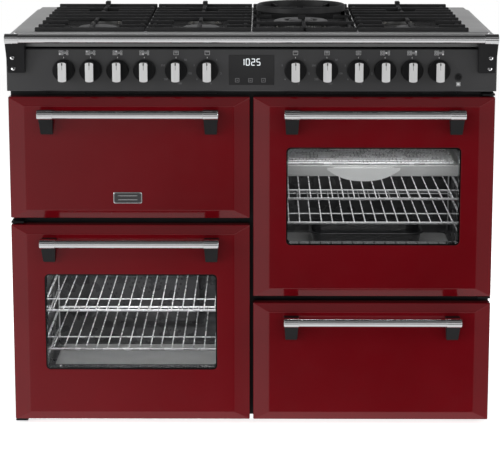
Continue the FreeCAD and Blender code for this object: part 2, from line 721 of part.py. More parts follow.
def control_gear():
    """Gas taps on their manifold with the inlet pipe, the oven switches and the ignition switch."""
    height = "knob_height"
    pipes = [
        rod("manifold", "9", ("-440", "inlet_x + 9"), "-165", height),
        rod("inlet_pipe", "inlet_pipe", "inlet_x", ("-165", f"{REAR_FACE} + 2"), height),
        rod("inlet_nipple", "inlet_radius", "inlet_x", (f"{REAR_FACE} + 1.7", "back_y - 1"), height),
    ]
    bores = []
    for index, x in enumerate(TAP_X):
        rise = (f"{height} - 18", f"{height} + 18")
        pipes.append(block(f"tap_{index}", (f"{x} - 15", f"{x} + 15"), ("control_y", "-160"), rise))
        bore_depth = ("control_y - 1", "control_y + 30")
        bores.append(rod(f"tap_bore_{index}", BORE_RADIUS, str(x), bore_depth, height))
    pieces = [cut("gas_taps", join("gas_ways", *pipes), *bores)]
    for index, x in enumerate(SWITCH_X):
        span = (f"{x} - 20", f"{x} + 20")
        rise = (f"{height} - 20", f"{height} + 20")
        switch = block(f"switch_{index}", span, ("control_y", "-190"), rise)
        depth = ("control_y - 1", "control_y + 20")
        bore = rod(f"switch_bore_{index}", BORE_RADIUS, str(x), depth, height)
        pieces.append(cut(f"switch_{index}_bored", switch, bore))
    span = ("button_x - 10", "button_x + 10")
    rise = ("button_z - 10", "button_z + 10")
    pieces.append(block("ignition_switch", span, ("face_y + 16", "face_y + 30"), rise))
    node(group("control_gear", *pieces), "control_gear")


def front_rail():
    axis_y = "front_y + rail_sleeve"
    tube = rod("rail_tube", "rail_radius", ("-rail_half", "rail_half"), axis_y, "rail_height")
    right = ("rail_half - rail_bracket", "rail_half")
    sleeves = [
        rod(f"rail_sleeve_{index}", "rail_sleeve", span, axis_y, "rail_height")
        for index, span in enumerate((mirrored(right), right))
    ]
    node(join("rail_whole", tube, *sleeves), "front_rail")

    side = (
        ("face_y", "-8"),
        ("front_y + 14", "-8"),
        ("front_y + 5", "-12"),
        ("face_y - 10", "-76"),
        ("face_y", "-80"),
    )
    pieces = []
    for name, low in (("rail_left", "-rail_half - 1"), ("rail_right", "rail_half + 1 - rail_bracket")):
        wedge = wedge_bracket(name + "_wedge", side, "rail_bracket", low, "rail_height")
        middle = f"{low} + rail_bracket / 2"
        across = (f"{low} - 2", f"{low} + rail_bracket + 2")
        tools = [rod(name + "_saddle", "rail_sleeve", across, axis_y, "rail_height")]
        for index, (z, front) in enumerate((("863", "-306"), ("837", "-290"))):
            recess = (f"{front} - 14", f"{front} + 8")
            tools.append(rod(f"{name}_recess_{index}", "5", middle, recess, z))
            pieces.append(rod(f"{name}_screw_{index}", "5", middle, (front, f"{front} + 8"), z))
        pieces.append(cut(name + "_seated", wedge, *tools))
    node(group("rail_brackets", *pieces), "rail_brackets")


# ---------------------------------------------------------------- hob

WELLS = (
    ("-support_outer + 4", "-support_split - 4"),
    ("-support_split + 4", "-4"),
    ("4", "support_split - 4"),
    ("support_split + 4", "support_outer - 4"),
)


def hob_tray():
    gauge = "sheet_gauge"
    apron = block(
        "apron",
        ("-apron_half", "apron_half"),
        ("apron_front", "apron_back"),
        ("apron_bottom", "apron_top"),
    )
    raised = block(
        "raised",
        ("-tray_half", "tray_half"),
        ("tray_front", "tray_back"),
        ("apron_top - 5", "tray_top"),
    )
    under_apron = block(
        "under_apron",
        (f"-apron_half + {gauge}", f"apron_half - {gauge}"),
        (f"apron_front + {gauge}", f"apron_back - {gauge}"),
        ("apron_bottom - 1", f"apron_top - {gauge}"),
    )
    under_raised = block(
        "under_raised",
        (f"-tray_half + {gauge}", f"tray_half - {gauge}"),
        (f"tray_front + {gauge}", f"tray_back - {gauge}"),
        ("apron_top - 6", f"tray_top - {gauge}"),
    )
    shell = cut("tray_shell", join("tray_form", apron, raised), under_apron, under_raised)
    floor = "tray_top - well_depth"
    outers = []
    inners = []
    depth = ("support_front + 3", "support_back - 3")
    for index, (low, high) in enumerate(WELLS):
        grown = (f"{low} - {gauge}", f"{high} + {gauge}")
        deeper = (f"{depth[0]} - {gauge}", f"{depth[1]} + {gauge}")
        rise = (f"{floor} - {gauge}", f"tray_top - {gauge} / 2")
        outers.append(block(f"well_outer_{index}", grown, deeper, rise))
        inners.append(block(f"well_inner_{index}", (low, high), depth, (floor, "tray_top + 1")))
    node(cut("tray", join("tray_with_wells", shell, *outers), *inners), "hob_tray")


def burners():
    floor = "tray_top - well_depth"
    bodies = []
    caps = []
    for index, (x, y, radius) in enumerate(BURNERS):
        body = turned(f"burner_{index}", (
            ("0", "0"),
            (f"{radius} + 7", "0"),
            (f"{radius} + 7", "4"),
            (f"{radius} - 3", "9"),
            (f"{radius} - 3", "18"),
            ("0", "18"),
        ))
        bodies.append(put(body, str(x), str(y), floor))
        inner = "40" if radius > 60 else "0"
        cap = turned(f"cap_{index}", (
            (inner, "18"),
            (str(radius), "18"),
            (str(radius), "23"),
            (f"{radius} - 4", "27"),
            (inner, "27"),
        ))
        caps.append(put(cap, str(x), str(y), floor))
        if radius > 60:
            crown = turned("inner_cap", (("0", "18"), ("30", "18"), ("30", "24"), ("26", "29"), ("0", "29")))
            caps.append(put(crown, str(x), str(y), floor))
    node(group("burner_bodies", *bodies), "burner_bodies")
    node(group("burner_caps", *caps), "burner_caps")


def bar(x, y, z):
    """A plain box shape from three low and high pairs of numbers."""
    size = [high - low for low, high in (x, y, z)]
    return Part.makeBox(*size, Vector(x[0], y[0], z[0]))


def support_shape(low, high, centres, clear):
    """A cast pan support: a frame, cross bars, fingers that stop short of each burner, legs and a horn.

    centres are the burners' places front to back, and clear the fingers' distance from a burner's axis.
    """
    width = number("support_bar")
    front, back = number("support_front"), number("support_back")
    base, top = number("tray_top + 0.5"), number("support_top")
    middle = (low + high) / 2
    rise = (base, top)
    bars = [
        bar((low, high), (front, front + width), rise),
        bar((low, high), (back - width, back), rise),
        bar((low, low + width), (front, back), rise),
        bar((high - width, high), (front, back), rise),
    ]
    if len(centres) == 2:
        crossings = [centres[0] + 54, (centres[0] + centres[1]) / 2, centres[1] - 54, centres[1] + 60]
    else:
        crossings = [centres[0] - 148, centres[0] + 122, centres[0] + 190]
    bars += [bar((low, high), (y - width / 2, y + width / 2), rise) for y in crossings]
    if len(centres) == 1:
        bars.append(bar((middle - width / 2, middle + width / 2), (front, crossings[0]), rise))
    stops = [front] + crossings + [back]
    for centre in centres:
        bars.append(bar((low, middle - clear), (centre - width / 2, centre + width / 2), rise))
        bars.append(bar((middle + clear, high), (centre - width / 2, centre + width / 2), rise))
        before = max(stop for stop in stops if stop < centre)
        after = min(stop for stop in stops if stop > centre)
        for span in ((before, centre - clear), (centre + clear, after)):
            if span[1] > span[0]:
                bars.append(bar((middle - width / 2, middle + width / 2), span, rise))
    foot = (number("tray_top - well_depth"), base + 1)
    for x in (low + 5, high - 15):
        for y in (front + 5, back - 15):
            bars.append(bar((x, x + 10), (y, y + 10), foot))
    horn = (base, top + number("horn_height"))
    if len(centres) == 2:
        bars.append(bar((middle - width / 2, middle + width / 2), (back - 34, back - 2), horn))
        bars.append(bar((middle - width / 2, middle + width / 2), (stops[-2], back), rise))
    return bars[0].multiFuse(bars[1:]).removeSplitter()


def pan_supports():
    outer, split, gap = number("support_outer"), number("support_split"), number("support_gap")
    spans = ((-outer, -split), (-split, 0), (0, split), (split, outer))
    pieces = []
    for index, (low, high) in enumerate(spans):
        wok = index == 2
        centres = (BURNERS[4][1],) if wok else (BURNERS[0][1], BURNERS[1][1])
        shape = support_shape(low + gap, high - gap, centres, 74 if wok else 24)
        pieces.append(feature(f"support_{index}", shape))
    node(group("pan_supports", *pieces), "pan_supports")


def wok_ring():
    ring = turned("wok_ring", (
        ("wok_radius - wok_wall", "0"),
        ("wok_radius", "0"),
        ("wok_radius", "wok_band - 3"),
        ("wok_radius - 3", "wok_band"),
        ("wok_radius - wok_wall", "wok_band"),
    ))
    foot = sketch_on(ring, "XY_Plane", "wok_foot_outline")
    outline(foot, (
        ("wok_radius - wok_wall + 1", "-9"),
        ("wok_radius - 1", "-9"),
        ("wok_radius - 1", "9"),
        ("wok_radius - wok_wall + 1", "9"),
    ))
    pad = extrude(ring, "Pad", "wok_foot", foot, "wok_rise - 0.3", True)
    feet = ring.newObject("PartDesign::PolarPattern", "wok_feet")
    feet.Originals = [pad]
    feet.Axis = (foot, ["N_Axis"])
    feet.Angle = 360
    feet.Occurrences = 4
    ring.Tip = feet
    x, y, _radius = BURNERS[4]
    put(ring, str(x), str(y), "support_top + wok_rise")
    node(ring, "wok_ring")


# ---------------------------------------------------------------- ovens

CAVITIES = (
    ("left_oven", "left", "left_floor", "oven_height"),
    ("main_oven", "main", "main_floor", "oven_height"),
    ("grill", "left", "grill_floor", "grill_height"),
)


def oven_liners():
    for name, column, floor, height in CAVITIES:
        low, high = OVEN_X[column]
        gauge = "sheet_gauge"
        span = (f"{low} - {gauge}", f"{high} + {gauge}")
        rise = (f"{floor} - {gauge}", f"{floor} + {height} + {gauge}")
        outer = block(name + "_outer", span, (BEHIND_FRAME, f"cavity_back + {gauge}"), rise)
        depth = (BEHIND_FRAME + " - 1", "cavity_back")
        tools = [block(name + "_inner", (low, high), depth, (floor, f"{floor} + {height}"))]
        if name == "left_oven":
            through = ("cavity_back - 2", "cavity_back + 3")
            tools.append(rod("fan_shaft_hole", "pin_radius + 4", "fan_x", through, "fan_z"))
        node(cut(name + "_box", outer, *tools), name + "_liner")


def wire(start, end, radius):
    run = Vector(*end) - Vector(*start)
    return Part.makeCylinder(radius, run.Length, Vector(*start), run)


def rack_shape():
    """A welded rack about its own middle, at height 0."""
    half = number("(cavity_out - cavity_in) / 2 - 8")
    front, back = number("rack_front"), number("rack_back")
    frame, thin = number("rack_frame"), number("rack_wire")
    outer = (-half - frame, half + frame)
    depth = (front - frame, back + frame)
    rise = (-frame, frame)
    bars = [bar(outer, (y - frame, y + frame), rise) for y in (front, back)]
    bars += [bar((x - frame, x + frame), depth, rise) for x in (-half, half)]
    bars += [bar(outer, (y - thin, y + thin), (-thin, thin)) for y in (front + 130, back - 130)]
    count = 15
    for index in range(count):
        x = -half + (index + 1) * 2 * half / (count + 1)
        bars.append(bar((x - thin, x + thin), depth, (-thin, thin)))
    return bars[0].multiFuse(bars[1:]).removeSplitter()


RACKS = (("left", 254), ("left", 160), ("main", 521), ("main", 464))


def oven_racks():
    shape = rack_shape()
    pieces = []
    for index, (column, height) in enumerate(RACKS):
        low, high = (number(text) for text in OVEN_X[column])
        piece = feature(f"rack_{index}", shape.copy())
        piece.Placement = FreeCAD.Placement(Vector((low + high) / 2, 0, height), FreeCAD.Rotation())
        pieces.append(piece)
    node(group("oven_racks", *pieces), "oven_racks")


LADDER_RUNGS = {
    "left_oven": (106, 154.7, 207, 248.7, 300, 350),
    "main_oven": (410, 458.7, 515.7, 568, 625),
    "grill": (600, 660),
}


def ladder_shape(x, heights):
    """Two uprights with rungs that a rack slides on, flat against one oven wall."""
    half = number("rung_half")
    front, back = number("rack_front - 8"), number("rack_back + 8")
    rise = (min(heights) - 30, max(heights) + 25)
    across = (x - half, x + half)
    bars = [bar(across, (y - half, y + half), rise) for y in (front, back)]
    bars += [bar(across, (front, back), (z - half, z + half)) for z in heights]
    return bars[0].multiFuse(bars[1:]).removeSplitter()


def rack_ladders():
    pieces = []
    for name, column, _floor, _height in CAVITIES:
        low, high = (number(text) for text in OVEN_X[column])
        for x in (low + 6, high - 6):
            shape = ladder_shape(x, LADDER_RUNGS[name])
            pieces.append(feature(f"ladder_{len(pieces)}", shape))
    node(group("rack_ladders", *pieces), "rack_ladders")


def open_pan(name, x, y, z, wall):
    """An open box with a wall; x, y and z are low and high expressions."""
    outer = block(name + "_outer", x, y, z)
    inset = [(f"{low} + {wall}", f"{high} - {wall}") for low, high in (x, y)]
    inner = block(name + "_inner", *inset, (f"{z[0]} + {wall}", f"{z[1]} + 1"))
    return cut(name + "_open", outer, inner)


def grill_pan():
    """A shallow pan that slides on the top rungs, with a handle plate on its front."""
    pan = open_pan("grill_tray", ("cavity_in + 4", "cavity_out - 4"), ("-180", "180"), ("570", "597"), "1.5")
    handle_plate = block("pan_handle", ("174", "342"), ("-196", "-193"), ("562", "596"))
    stem = block("pan_stem", ("230", "286"), ("-194", "-179"), ("592", "595"))
    node(join("grill_pan_whole", pan, handle_plate, stem), "grill_pan")


def roasting_dish():
    height = ("main_floor", "main_floor + 48")
    node(open_pan("dish", ("138", "420"), ("15", "200"), height, "2"), "roasting_dish")


def element_shape(low, high, z):
    """A grill element: one rod folded to and fro under the roof."""
    radius = 4
    rows = [-170 + 45 * index for index in range(8)]
    rods = []
    for index, y in enumerate(rows):
        rods.append(wire((low, y, z), (high, y, z), radius))
        if index + 1 < len(rows):
            x = high if index % 2 == 0 else low
            rods.append(wire((x, y, z), (x, rows[index + 1], z), radius))
            rods += [Part.makeSphere(radius, Vector(x, end, z)) for end in (y, rows[index + 1])]
    return rods[0].multiFuse(rods[1:])


def heating_elements():
    roofs = (
        ("grill_element", "left", "grill_floor + grill_height"),
        ("main_element", "main", "main_floor + oven_height"),
    )
    grills = []
    for name, column, roof in roofs:
        low, high = (number(text) for text in OVEN_X[column])
        grills.append(feature(name, element_shape(low + 40, high - 40, number(roof) - 22)))
    ring = doc.addObject("Part::Torus", "ring_element")
    ring.Radius1 = 95
    ring.Radius2 = 4
    ring.Placement = FreeCAD.Placement(Vector(), TO_FRONT)
    for axis, text in (("x", "fan_x"), ("y", "cavity_back - 20"), ("z", "fan_z")):
        bind(ring, f"Placement.Base.{axis}", text)
    node(group("heating_elements", *grills, ring), "heating_elements")


def oven_fan():
    fan = turned("fan", (
        ("0", "-32"),
        ("pin_radius", "-32"),
        ("pin_radius", "0"),
        ("70", "0"),
        ("70", "1.5"),
        ("12", "1.5"),
        ("12", "14"),
        ("0", "14"),
    ))
    blade = sketch_on(fan, "XY_Plane", "blade_outline", "1")
    outline(blade, (("42", "-1"), ("67", "-1"), ("67", "1"), ("42", "1")))
    pad = extrude(fan, "Pad", "blade", blade, "17")
    blades = fan.newObject("PartDesign::PolarPattern", "blades")
    blades.Originals = [pad]
    blades.Axis = (blade, ["N_Axis"])
    blades.Angle = 360
    blades.Occurrences = 12
    fan.Tip = blades
    put(fan, "fan_x", "cavity_back - 6", "fan_z", TO_FRONT)
    node(fan, "oven_fan")


def fan_housing():
    can = ("cavity_back + sheet_gauge", "cavity_back + 56")
    motor = rod("motor_can", "38", "fan_x", can, "fan_z")
    bore = rod("motor_bore", BORE_RADIUS, "fan_x", ("cavity_back", "cavity_back + 30"), "fan_z")
    width = ("fan_x - 140", "fan_x + 140")
    baffle = block("baffle_plate", width, ("207", "208.2"), ("fan_z - 125", "fan_z + 125"))
    inlet = rod("baffle_inlet", "50", "fan_x", ("206", "209"), "fan_z")
    pieces = (cut("motor", motor, bore), cut("baffle", baffle, inlet))
    node(group("fan_housing", *pieces), "fan_housing")


# ---------------------------------------------------------------- build, check and write

def build():
    for make in (
        side_panels, base_frame, back_panel, front_frame, levelling_feet, hinge_brackets,
        grill_door, drawer, fascia, knobs, ignition_button, control_gear, front_rail,
        hob_tray, burners, pan_supports, wok_ring, oven_liners, oven_racks, rack_ladders,
        grill_pan, roasting_dish, heating_elements, oven_fan, fan_housing,
    ):
        make()
    oven_door("left_door", LEFT_COLUMN, LOW, -1)
    oven_door("main_door", RIGHT_COLUMN, MAIN_BOTTOM, 1)


def faults():
    """The objects that failed to recompute and the sub-parts with no sound shape."""
    failed = [item.Name for item in doc.Objects if "Invalid" in item.State or "Error" in item.State]
    unsound = [piece.Label for piece in nodes if piece.Shape.isNull() or not piece.Shape.isValid()]
    empty = [piece.Label for piece in nodes if not piece.Shape.isNull() and piece.Shape.Volume <= 0]
    return failed + unsound + empty


build()
doc.recompute()
bad = faults()
if bad:
    raise RuntimeError("not sound: " + ", ".join(bad))
os.makedirs("parts", exist_ok=True)
for piece in nodes:
    piece.Shape.exportStep(os.path.join("parts", piece.Label + ".step"))
print(len(nodes), "sub-parts written")
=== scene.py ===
import json
import math

import bmesh
import bpy
from mathutils import Matrix, Vector

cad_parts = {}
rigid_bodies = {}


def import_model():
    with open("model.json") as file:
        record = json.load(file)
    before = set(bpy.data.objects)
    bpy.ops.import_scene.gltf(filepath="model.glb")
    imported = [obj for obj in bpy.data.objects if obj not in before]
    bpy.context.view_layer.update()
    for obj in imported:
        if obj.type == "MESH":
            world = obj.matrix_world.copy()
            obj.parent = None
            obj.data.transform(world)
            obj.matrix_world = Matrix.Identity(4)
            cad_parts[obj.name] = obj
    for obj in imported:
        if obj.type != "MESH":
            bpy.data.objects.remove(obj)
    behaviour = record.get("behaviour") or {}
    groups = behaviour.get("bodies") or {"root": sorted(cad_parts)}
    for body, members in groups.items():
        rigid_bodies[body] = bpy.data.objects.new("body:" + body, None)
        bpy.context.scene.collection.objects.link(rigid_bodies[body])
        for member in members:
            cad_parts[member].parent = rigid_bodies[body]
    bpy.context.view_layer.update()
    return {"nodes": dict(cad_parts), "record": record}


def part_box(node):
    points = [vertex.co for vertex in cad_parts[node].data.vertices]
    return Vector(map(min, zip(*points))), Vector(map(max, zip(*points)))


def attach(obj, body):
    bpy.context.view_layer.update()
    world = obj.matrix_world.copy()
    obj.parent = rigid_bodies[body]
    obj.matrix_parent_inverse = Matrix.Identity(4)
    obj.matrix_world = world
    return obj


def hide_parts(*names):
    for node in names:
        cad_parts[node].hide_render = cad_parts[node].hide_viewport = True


# A freestanding gas range in dark red enamel: hob, grill, two ovens and a storage drawer.
# Forms are drawn in millimetres, and piece() makes them metres; the studio is in metres.
# Profiles drawn flat (x across, y up, z out) are stood up with FACING.

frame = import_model()
MM = 0.001
MERGE = 1e-3
FACING = Matrix.Rotation(math.radians(90), 4, "X")
ALONG_X = Matrix.Rotation(math.radians(90), 4, "Y")
FACE = 273
BODIES = {node: body for body, nodes in frame["record"]["behaviour"]["bodies"].items() for node in nodes}


# ---------------------------------------------------------------- mesh tools

def corners(node):
    """A node's lowest and highest corners in millimetres."""
    low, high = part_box(node)
    return low / MM, high / MM


def ring(bm, low, high, level, radius, steps):
    """The vertices of a rounded rectangle at one level, in order round its middle."""
    before = set(bm.verts)
    corners = ((low[0], low[1]), (high[0], low[1]), (high[0], high[1]), (low[0], high[1]))
    verts = [bm.verts.new((x, y, level)) for x, y in corners]
    bm.faces.new(verts)
    bmesh.ops.bevel(
        bm, geom=verts, offset=radius, offset_type="OFFSET", segments=steps,
        profile=0.5, affect="VERTICES", material=-1,
    )
    made = [vert for vert in bm.verts if vert not in before]
    faces = {face for vert in made for face in vert.link_faces}
    bmesh.ops.delete(bm, geom=list(faces), context="FACES_ONLY")
    middle = Vector(((low[0] + high[0]) / 2, (low[1] + high[1]) / 2, level))
    return sorted(made, key=lambda vert: math.atan2(vert.co.y - middle.y, vert.co.x - middle.x))


def join_rings(bm, near, far):
    count = len(near)
    for index in range(count):
        after = (index + 1) % count
        bm.faces.new((near[index], near[after], far[after], far[index]))


def stacked(layers, steps=5, loop=False):
    """A closed form through rounded rectangles, (low, high, level, radius) each; a loop joins its ends."""
    bm = bmesh.new()
    rings = [ring(bm, low, high, level, radius, steps) for low, high, level, radius in layers]
    for near, far in zip(rings, rings[1:]):
        join_rings(bm, near, far)
    if loop:
        join_rings(bm, rings[-1], rings[0])
    else:
        bm.faces.new(rings[0])
        bm.faces.new(rings[-1])
    bmesh.ops.recalc_face_normals(bm, faces=bm.faces)
    return bm


def standing(layers, steps=5, loop=False):
    """A stacked form stood up to face the front."""
    return moved(stacked(layers, steps, loop), FACING)


def inset(layer, sides, ends, level, radius):
    """A layer drawn in from another by its sides and its ends."""
    low, high = layer[0], layer[1]
    return ((low[0] + sides, low[1] + ends), (high[0] - sides, high[1] - ends), level, radius)


def drawn(layer, rows):
    """Layers drawn in from one: (sides, ends, level, radius) each."""
    return [inset(layer, *row) for row in rows]


def turned(profile, steps=48, closed=False):
    """A form spun about Z through points of radius and height."""
    bm = bmesh.new()
    verts = [bm.verts.new((radius, 0, height)) for radius, height in profile]
    pairs = list(zip(verts, verts[1:]))
    if closed:
        pairs.append((verts[-1], verts[0]))
    edges = [bm.edges.new(pair) for pair in pairs]
    bmesh.ops.spin(
        bm, geom=verts + edges, cent=(0, 0, 0), axis=(0, 0, 1), angle=math.tau,
        steps=steps, use_merge=True, use_duplicate=False,
    )
    bmesh.ops.remove_doubles(bm, verts=bm.verts, dist=MERGE)
    bmesh.ops.recalc_face_normals(bm, faces=bm.faces)
    return bm


def bar(bm, low, high):
    """Adds a box between two corners and gives its vertices."""
    size = Vector(high) - Vector(low)
    place = Matrix.Translation((Vector(high) + Vector(low)) / 2) @ Matrix.Diagonal((*size, 1))
    return bmesh.ops.create_cube(bm, size=1, matrix=place)["verts"]


def rod(bm, start, end, radius, sides=12):
    """Adds a round rod between two points."""
    start, end = Vector(start), Vector(end)
    run = end - start
    turn = Vector((0, 0, 1)).rotation_difference(run).to_matrix().to_4x4()
    bmesh.ops.create_cone(
        bm, cap_ends=True, segments=sides, radius1=radius, radius2=radius, depth=run.length,
        matrix=Matrix.Translation((start + end) / 2) @ turn,
    )


def soften(bm, width, steps=2, least=30):
    """Rounds the edges that turn by more than an angle."""
    sharp = [edge for edge in bm.edges if edge.calc_face_angle(0) > math.radians(least)]
    bmesh.ops.bevel(
        bm, geom=sharp, offset=width, offset_type="OFFSET", segments=steps,
        profile=0.5, affect="EDGES", clamp_overlap=True, material=-1,
    )
    return bm


def moved(bm, matrix):
    bmesh.ops.transform(bm, matrix=matrix, verts=bm.verts)
    return bm


def gather(*forms):
    """One form made of several."""
    whole = bmesh.new()
    for form in forms:
        mesh = bpy.data.meshes.new("part")
        form.to_mesh(mesh)
        form.free()
        whole.from_mesh(mesh)
        bpy.data.meshes.remove(mesh)
    return whole


def piece(name, bm, body, finish, replaces=(), smooth=35, scale=MM):
    """Makes an object of a form, rides it on a body and hides the CAD nodes that it stands for."""
    bmesh.ops.scale(bm, vec=(scale, scale, scale), verts=bm.verts)
    for face in bm.faces:
        face.smooth = True
    for edge in bm.edges:
        edge.smooth = edge.calc_face_angle(0) < math.radians(smooth)
    mesh = bpy.data.meshes.new(name)
    bm.to_mesh(mesh)
    bm.free()
    mesh.materials.append(finish)
    item = bpy.data.objects.new(name, mesh)
    bpy.context.scene.collection.objects.link(item)
    even = item.modifiers.new("even_faces", "WEIGHTED_NORMAL")
    even.keep_sharp = True
    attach(item, body)
    if replaces:
        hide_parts(*replaces)
    return item


def curve_form(curve):
    """The mesh of a curve or a text, as a form."""
    holder = bpy.data.objects.new("holder", curve)
    mesh = bpy.data.meshes.new_from_object(holder)
    bm = bmesh.new()
    bm.from_mesh(mesh)
    bpy.data.objects.remove(holder)
    bpy.data.batch_remove((curve, mesh))
    return bm


def lettering(text, size, place):
    """Flat digits as a form, centred on a place."""
    curve = bpy.data.curves.new("digits", "FONT")
    curve.body = text
    curve.size = size
    curve.align_x = "CENTER"
    curve.align_y = "CENTER"
    curve.extrude = 0.02
    return moved(curve_form(curve), place)


# ---------------------------------------------------------------- materials

def new_group(name, inputs, outputs):
    """An empty node group with float or vector inputs and its outputs."""
    tree = bpy.data.node_groups.new(name, "ShaderNodeTree")
    for label, kind in inputs:
        tree.interface.new_socket(label, in_out="INPUT", socket_type=kind)
    for label, kind in outputs:
        tree.interface.new_socket(label, in_out="OUTPUT", socket_type=kind)
    return tree, tree.nodes.new("NodeGroupInput"), tree.nodes.new("NodeGroupOutput")


def noise(tree, vector, scale, detail=3.0):
    node = tree.nodes.new("ShaderNodeTexNoise")
    node.inputs["Detail"].default_value = detail
    tree.links.new(vector, node.inputs["Vector"])
    tree.links.new(scale, node.inputs["Scale"])
    return node.outputs["Fac"]


def spread(tree, value, low, high, from_low=0.3, from_high=0.7):
    """Maps a noise value to a range given by two sockets."""
    node = tree.nodes.new("ShaderNodeMapRange")
    node.inputs["From Min"].default_value = from_low
    node.inputs["From Max"].default_value = from_high
    tree.links.new(value, node.inputs["Value"])
    tree.links.new(low, node.inputs["To Min"])
    tree.links.new(high, node.inputs["To Max"])
    return node.outputs["Result"]


def surface_group():
    """Uneven colour, uneven gloss and a fine relief, each from its own noise."""
    floats = ("Tone Scale", "Tone", "Gloss Scale", "Gloss Low", "Gloss High", "Grain Scale")
    inputs = [("Vector", "NodeSocketVector"), ("Light", "NodeSocketColor"), ("Dark", "NodeSocketColor")]
    inputs += [(label, "NodeSocketFloat") for label in floats]
    outputs = [("Color", "NodeSocketColor")]
    outputs += [(label, "NodeSocketFloat") for label in ("Roughness", "Height")]
    tree, source, result = new_group("uneven_surface", inputs, outputs)
    tone = noise(tree, source.outputs["Vector"], source.outputs["Tone Scale"])
    mix = tree.nodes.new("ShaderNodeMix")
    mix.data_type = "RGBA"
    ramp = tree.nodes.new("ShaderNodeMapRange")
    ramp.inputs["From Min"].default_value = 0.3
    ramp.inputs["From Max"].default_value = 0.7
    tree.links.new(tone, ramp.inputs["Value"])
    tree.links.new(source.outputs["Tone"], ramp.inputs["To Max"])
    tree.links.new(ramp.outputs["Result"], mix.inputs["Factor"])
    tree.links.new(source.outputs["Light"], mix.inputs["A"])
    tree.links.new(source.outputs["Dark"], mix.inputs["B"])
    gloss = noise(tree, source.outputs["Vector"], source.outputs["Gloss Scale"], 4.0)
    rough = spread(tree, gloss, source.outputs["Gloss Low"], source.outputs["Gloss High"])
    height = noise(tree, source.outputs["Vector"], source.outputs["Grain Scale"], 2.0)
    tree.links.new(mix.outputs["Result"], result.inputs["Color"])
    tree.links.new(rough, result.inputs["Roughness"])
    tree.links.new(height, result.inputs["Height"])
    return tree


SURFACE = surface_group()


def rgba(tint):
    """A colour from three values, or a grey from one."""
    return (*tint, 1) if isinstance(tint, tuple) else (tint, tint, tint, 1)


def finish(name, light, dark, gloss, metallic=0.0, grain=(300, 0.02), tone=(9, 1.0), stretch=None,
           gloss_scale=25.0, sockets=None):
    """A finish from two tones, a gloss range and a relief; stretch draws the noise out along an axis."""
    material = bpy.data.materials.new(name)
    material.use_nodes = True
    tree = material.node_tree
    shader = tree.nodes["Principled BSDF"]
    shader.inputs["Metallic"].default_value = metallic
    for label, value in (sockets or {}).items():
        shader.inputs[label].default_value = value
    vector = tree.nodes.new("ShaderNodeTexCoord").outputs["Object"]
    if stretch:
        mapping = tree.nodes.new("ShaderNodeMapping")
        mapping.inputs["Scale"].default_value = stretch
        tree.links.new(vector, mapping.inputs["Vector"])
        vector = mapping.outputs["Vector"]
    surface = tree.nodes.new("ShaderNodeGroup")
    surface.node_tree = SURFACE
    tree.links.new(vector, surface.inputs["Vector"])
    values = {
        "Light": rgba(light), "Dark": rgba(dark), "Tone Scale": tone[0], "Tone": tone[1],
        "Gloss Scale": gloss_scale, "Gloss Low": gloss[0], "Gloss High": gloss[1], "Grain Scale": grain[0],
    }
    for label, value in values.items():
        surface.inputs[label].default_value = value
    bump = tree.nodes.new("ShaderNodeBump")
    bump.inputs["Strength"].default_value = 1.0
    bump.inputs["Distance"].default_value = grain[1] * MM
    tree.links.new(surface.outputs["Color"], shader.inputs["Base Color"])
    tree.links.new(surface.outputs["Roughness"], shader.inputs["Roughness"])
    tree.links.new(surface.outputs["Height"], bump.inputs["Height"])
    tree.links.new(bump.outputs["Normal"], shader.inputs["Normal"])
    return material


COAT = {"Coat Weight": 0.25, "Coat Roughness": 0.05, "Specular IOR Level": 0.3}
RED = finish("red_enamel", (0.163, 0.0030, 0.0070), (0.141, 0.0024, 0.0055), (0.10, 0.16),
             grain=(160, 0.012), tone=(4, 1.0), sockets=COAT)
ANTHRACITE = finish("anthracite_enamel", (0.046, 0.046, 0.048), (0.040, 0.040, 0.042), (0.30, 0.38),
                    grain=(900, 0.006), sockets={"Coat Weight": 0.15, "Coat Roughness": 0.2})
BLACK_ENAMEL = finish("black_enamel", (0.012, 0.012, 0.013), (0.008, 0.008, 0.009), (0.28, 0.38),
                      grain=(400, 0.012), sockets={"Specular IOR Level": 0.25})
CHROME = finish("polished_steel", (0.80, 0.80, 0.81), (0.74, 0.74, 0.75), (0.10, 0.17), metallic=1.0,
                grain=(600, 0.001), gloss_scale=60)
GRIP_STEEL = finish("satin_grip", 0.90, 0.80, (0.30, 0.42), metallic=0.55,
                    grain=(900, 0.003), stretch=(6, 6, 0.4))
HANDLE_PLATE = finish("handle_plate", 0.95, 0.88, (0.32, 0.42), metallic=0.35,
                      grain=(900, 0.003))
TRAY_STEEL = finish("hob_steel", 0.88, (0.79, 0.79, 0.795), (0.34, 0.46), metallic=0.9,
                    grain=(700, 0.004), tone=(5, 1.0), stretch=(0.12, 3.0, 3.0), gloss_scale=40)
# A darker copy of the hob steel for the apron's front face: painted shade for the dark room that this face
# reflects.
APRON_PAINTED_SHADE = finish("apron_steel_painted_shade", 0.23, 0.19, (0.34, 0.46), metallic=0.9,
                     grain=(700, 0.004), tone=(5, 1.0), stretch=(0.12, 3.0, 3.0), gloss_scale=40)
# The wells are coloured near black.
DARK_WELLS = finish("dark_wells", (0.030, 0.030, 0.031), (0.022, 0.022, 0.023), (0.20, 0.32),
                     grain=(300, 0.015), sockets={"Coat Weight": 0.3, "Coat Roughness": 0.12})
CAST_IRON = finish("cast_iron", (0.016, 0.016, 0.017), (0.009, 0.009, 0.010), (0.48, 0.66),
                   grain=(1100, 0.09), tone=(40, 1.0))
# The burner caps' black enamel is made mid grey: a painted reflection of the bright surround on their tops.
CAP_PAINTED_REFLECTION = finish("burner_cap_painted_reflection", (0.085, 0.085, 0.087), (0.065, 0.065, 0.067), (0.34, 0.46),
             grain=(250, 0.02), sockets={"Specular IOR Level": 0.3})
ALLOY = finish("burner_alloy", (0.56, 0.56, 0.55), 0.42, (0.34, 0.5), metallic=1.0,
               grain=(900, 0.02), tone=(60, 1.0))
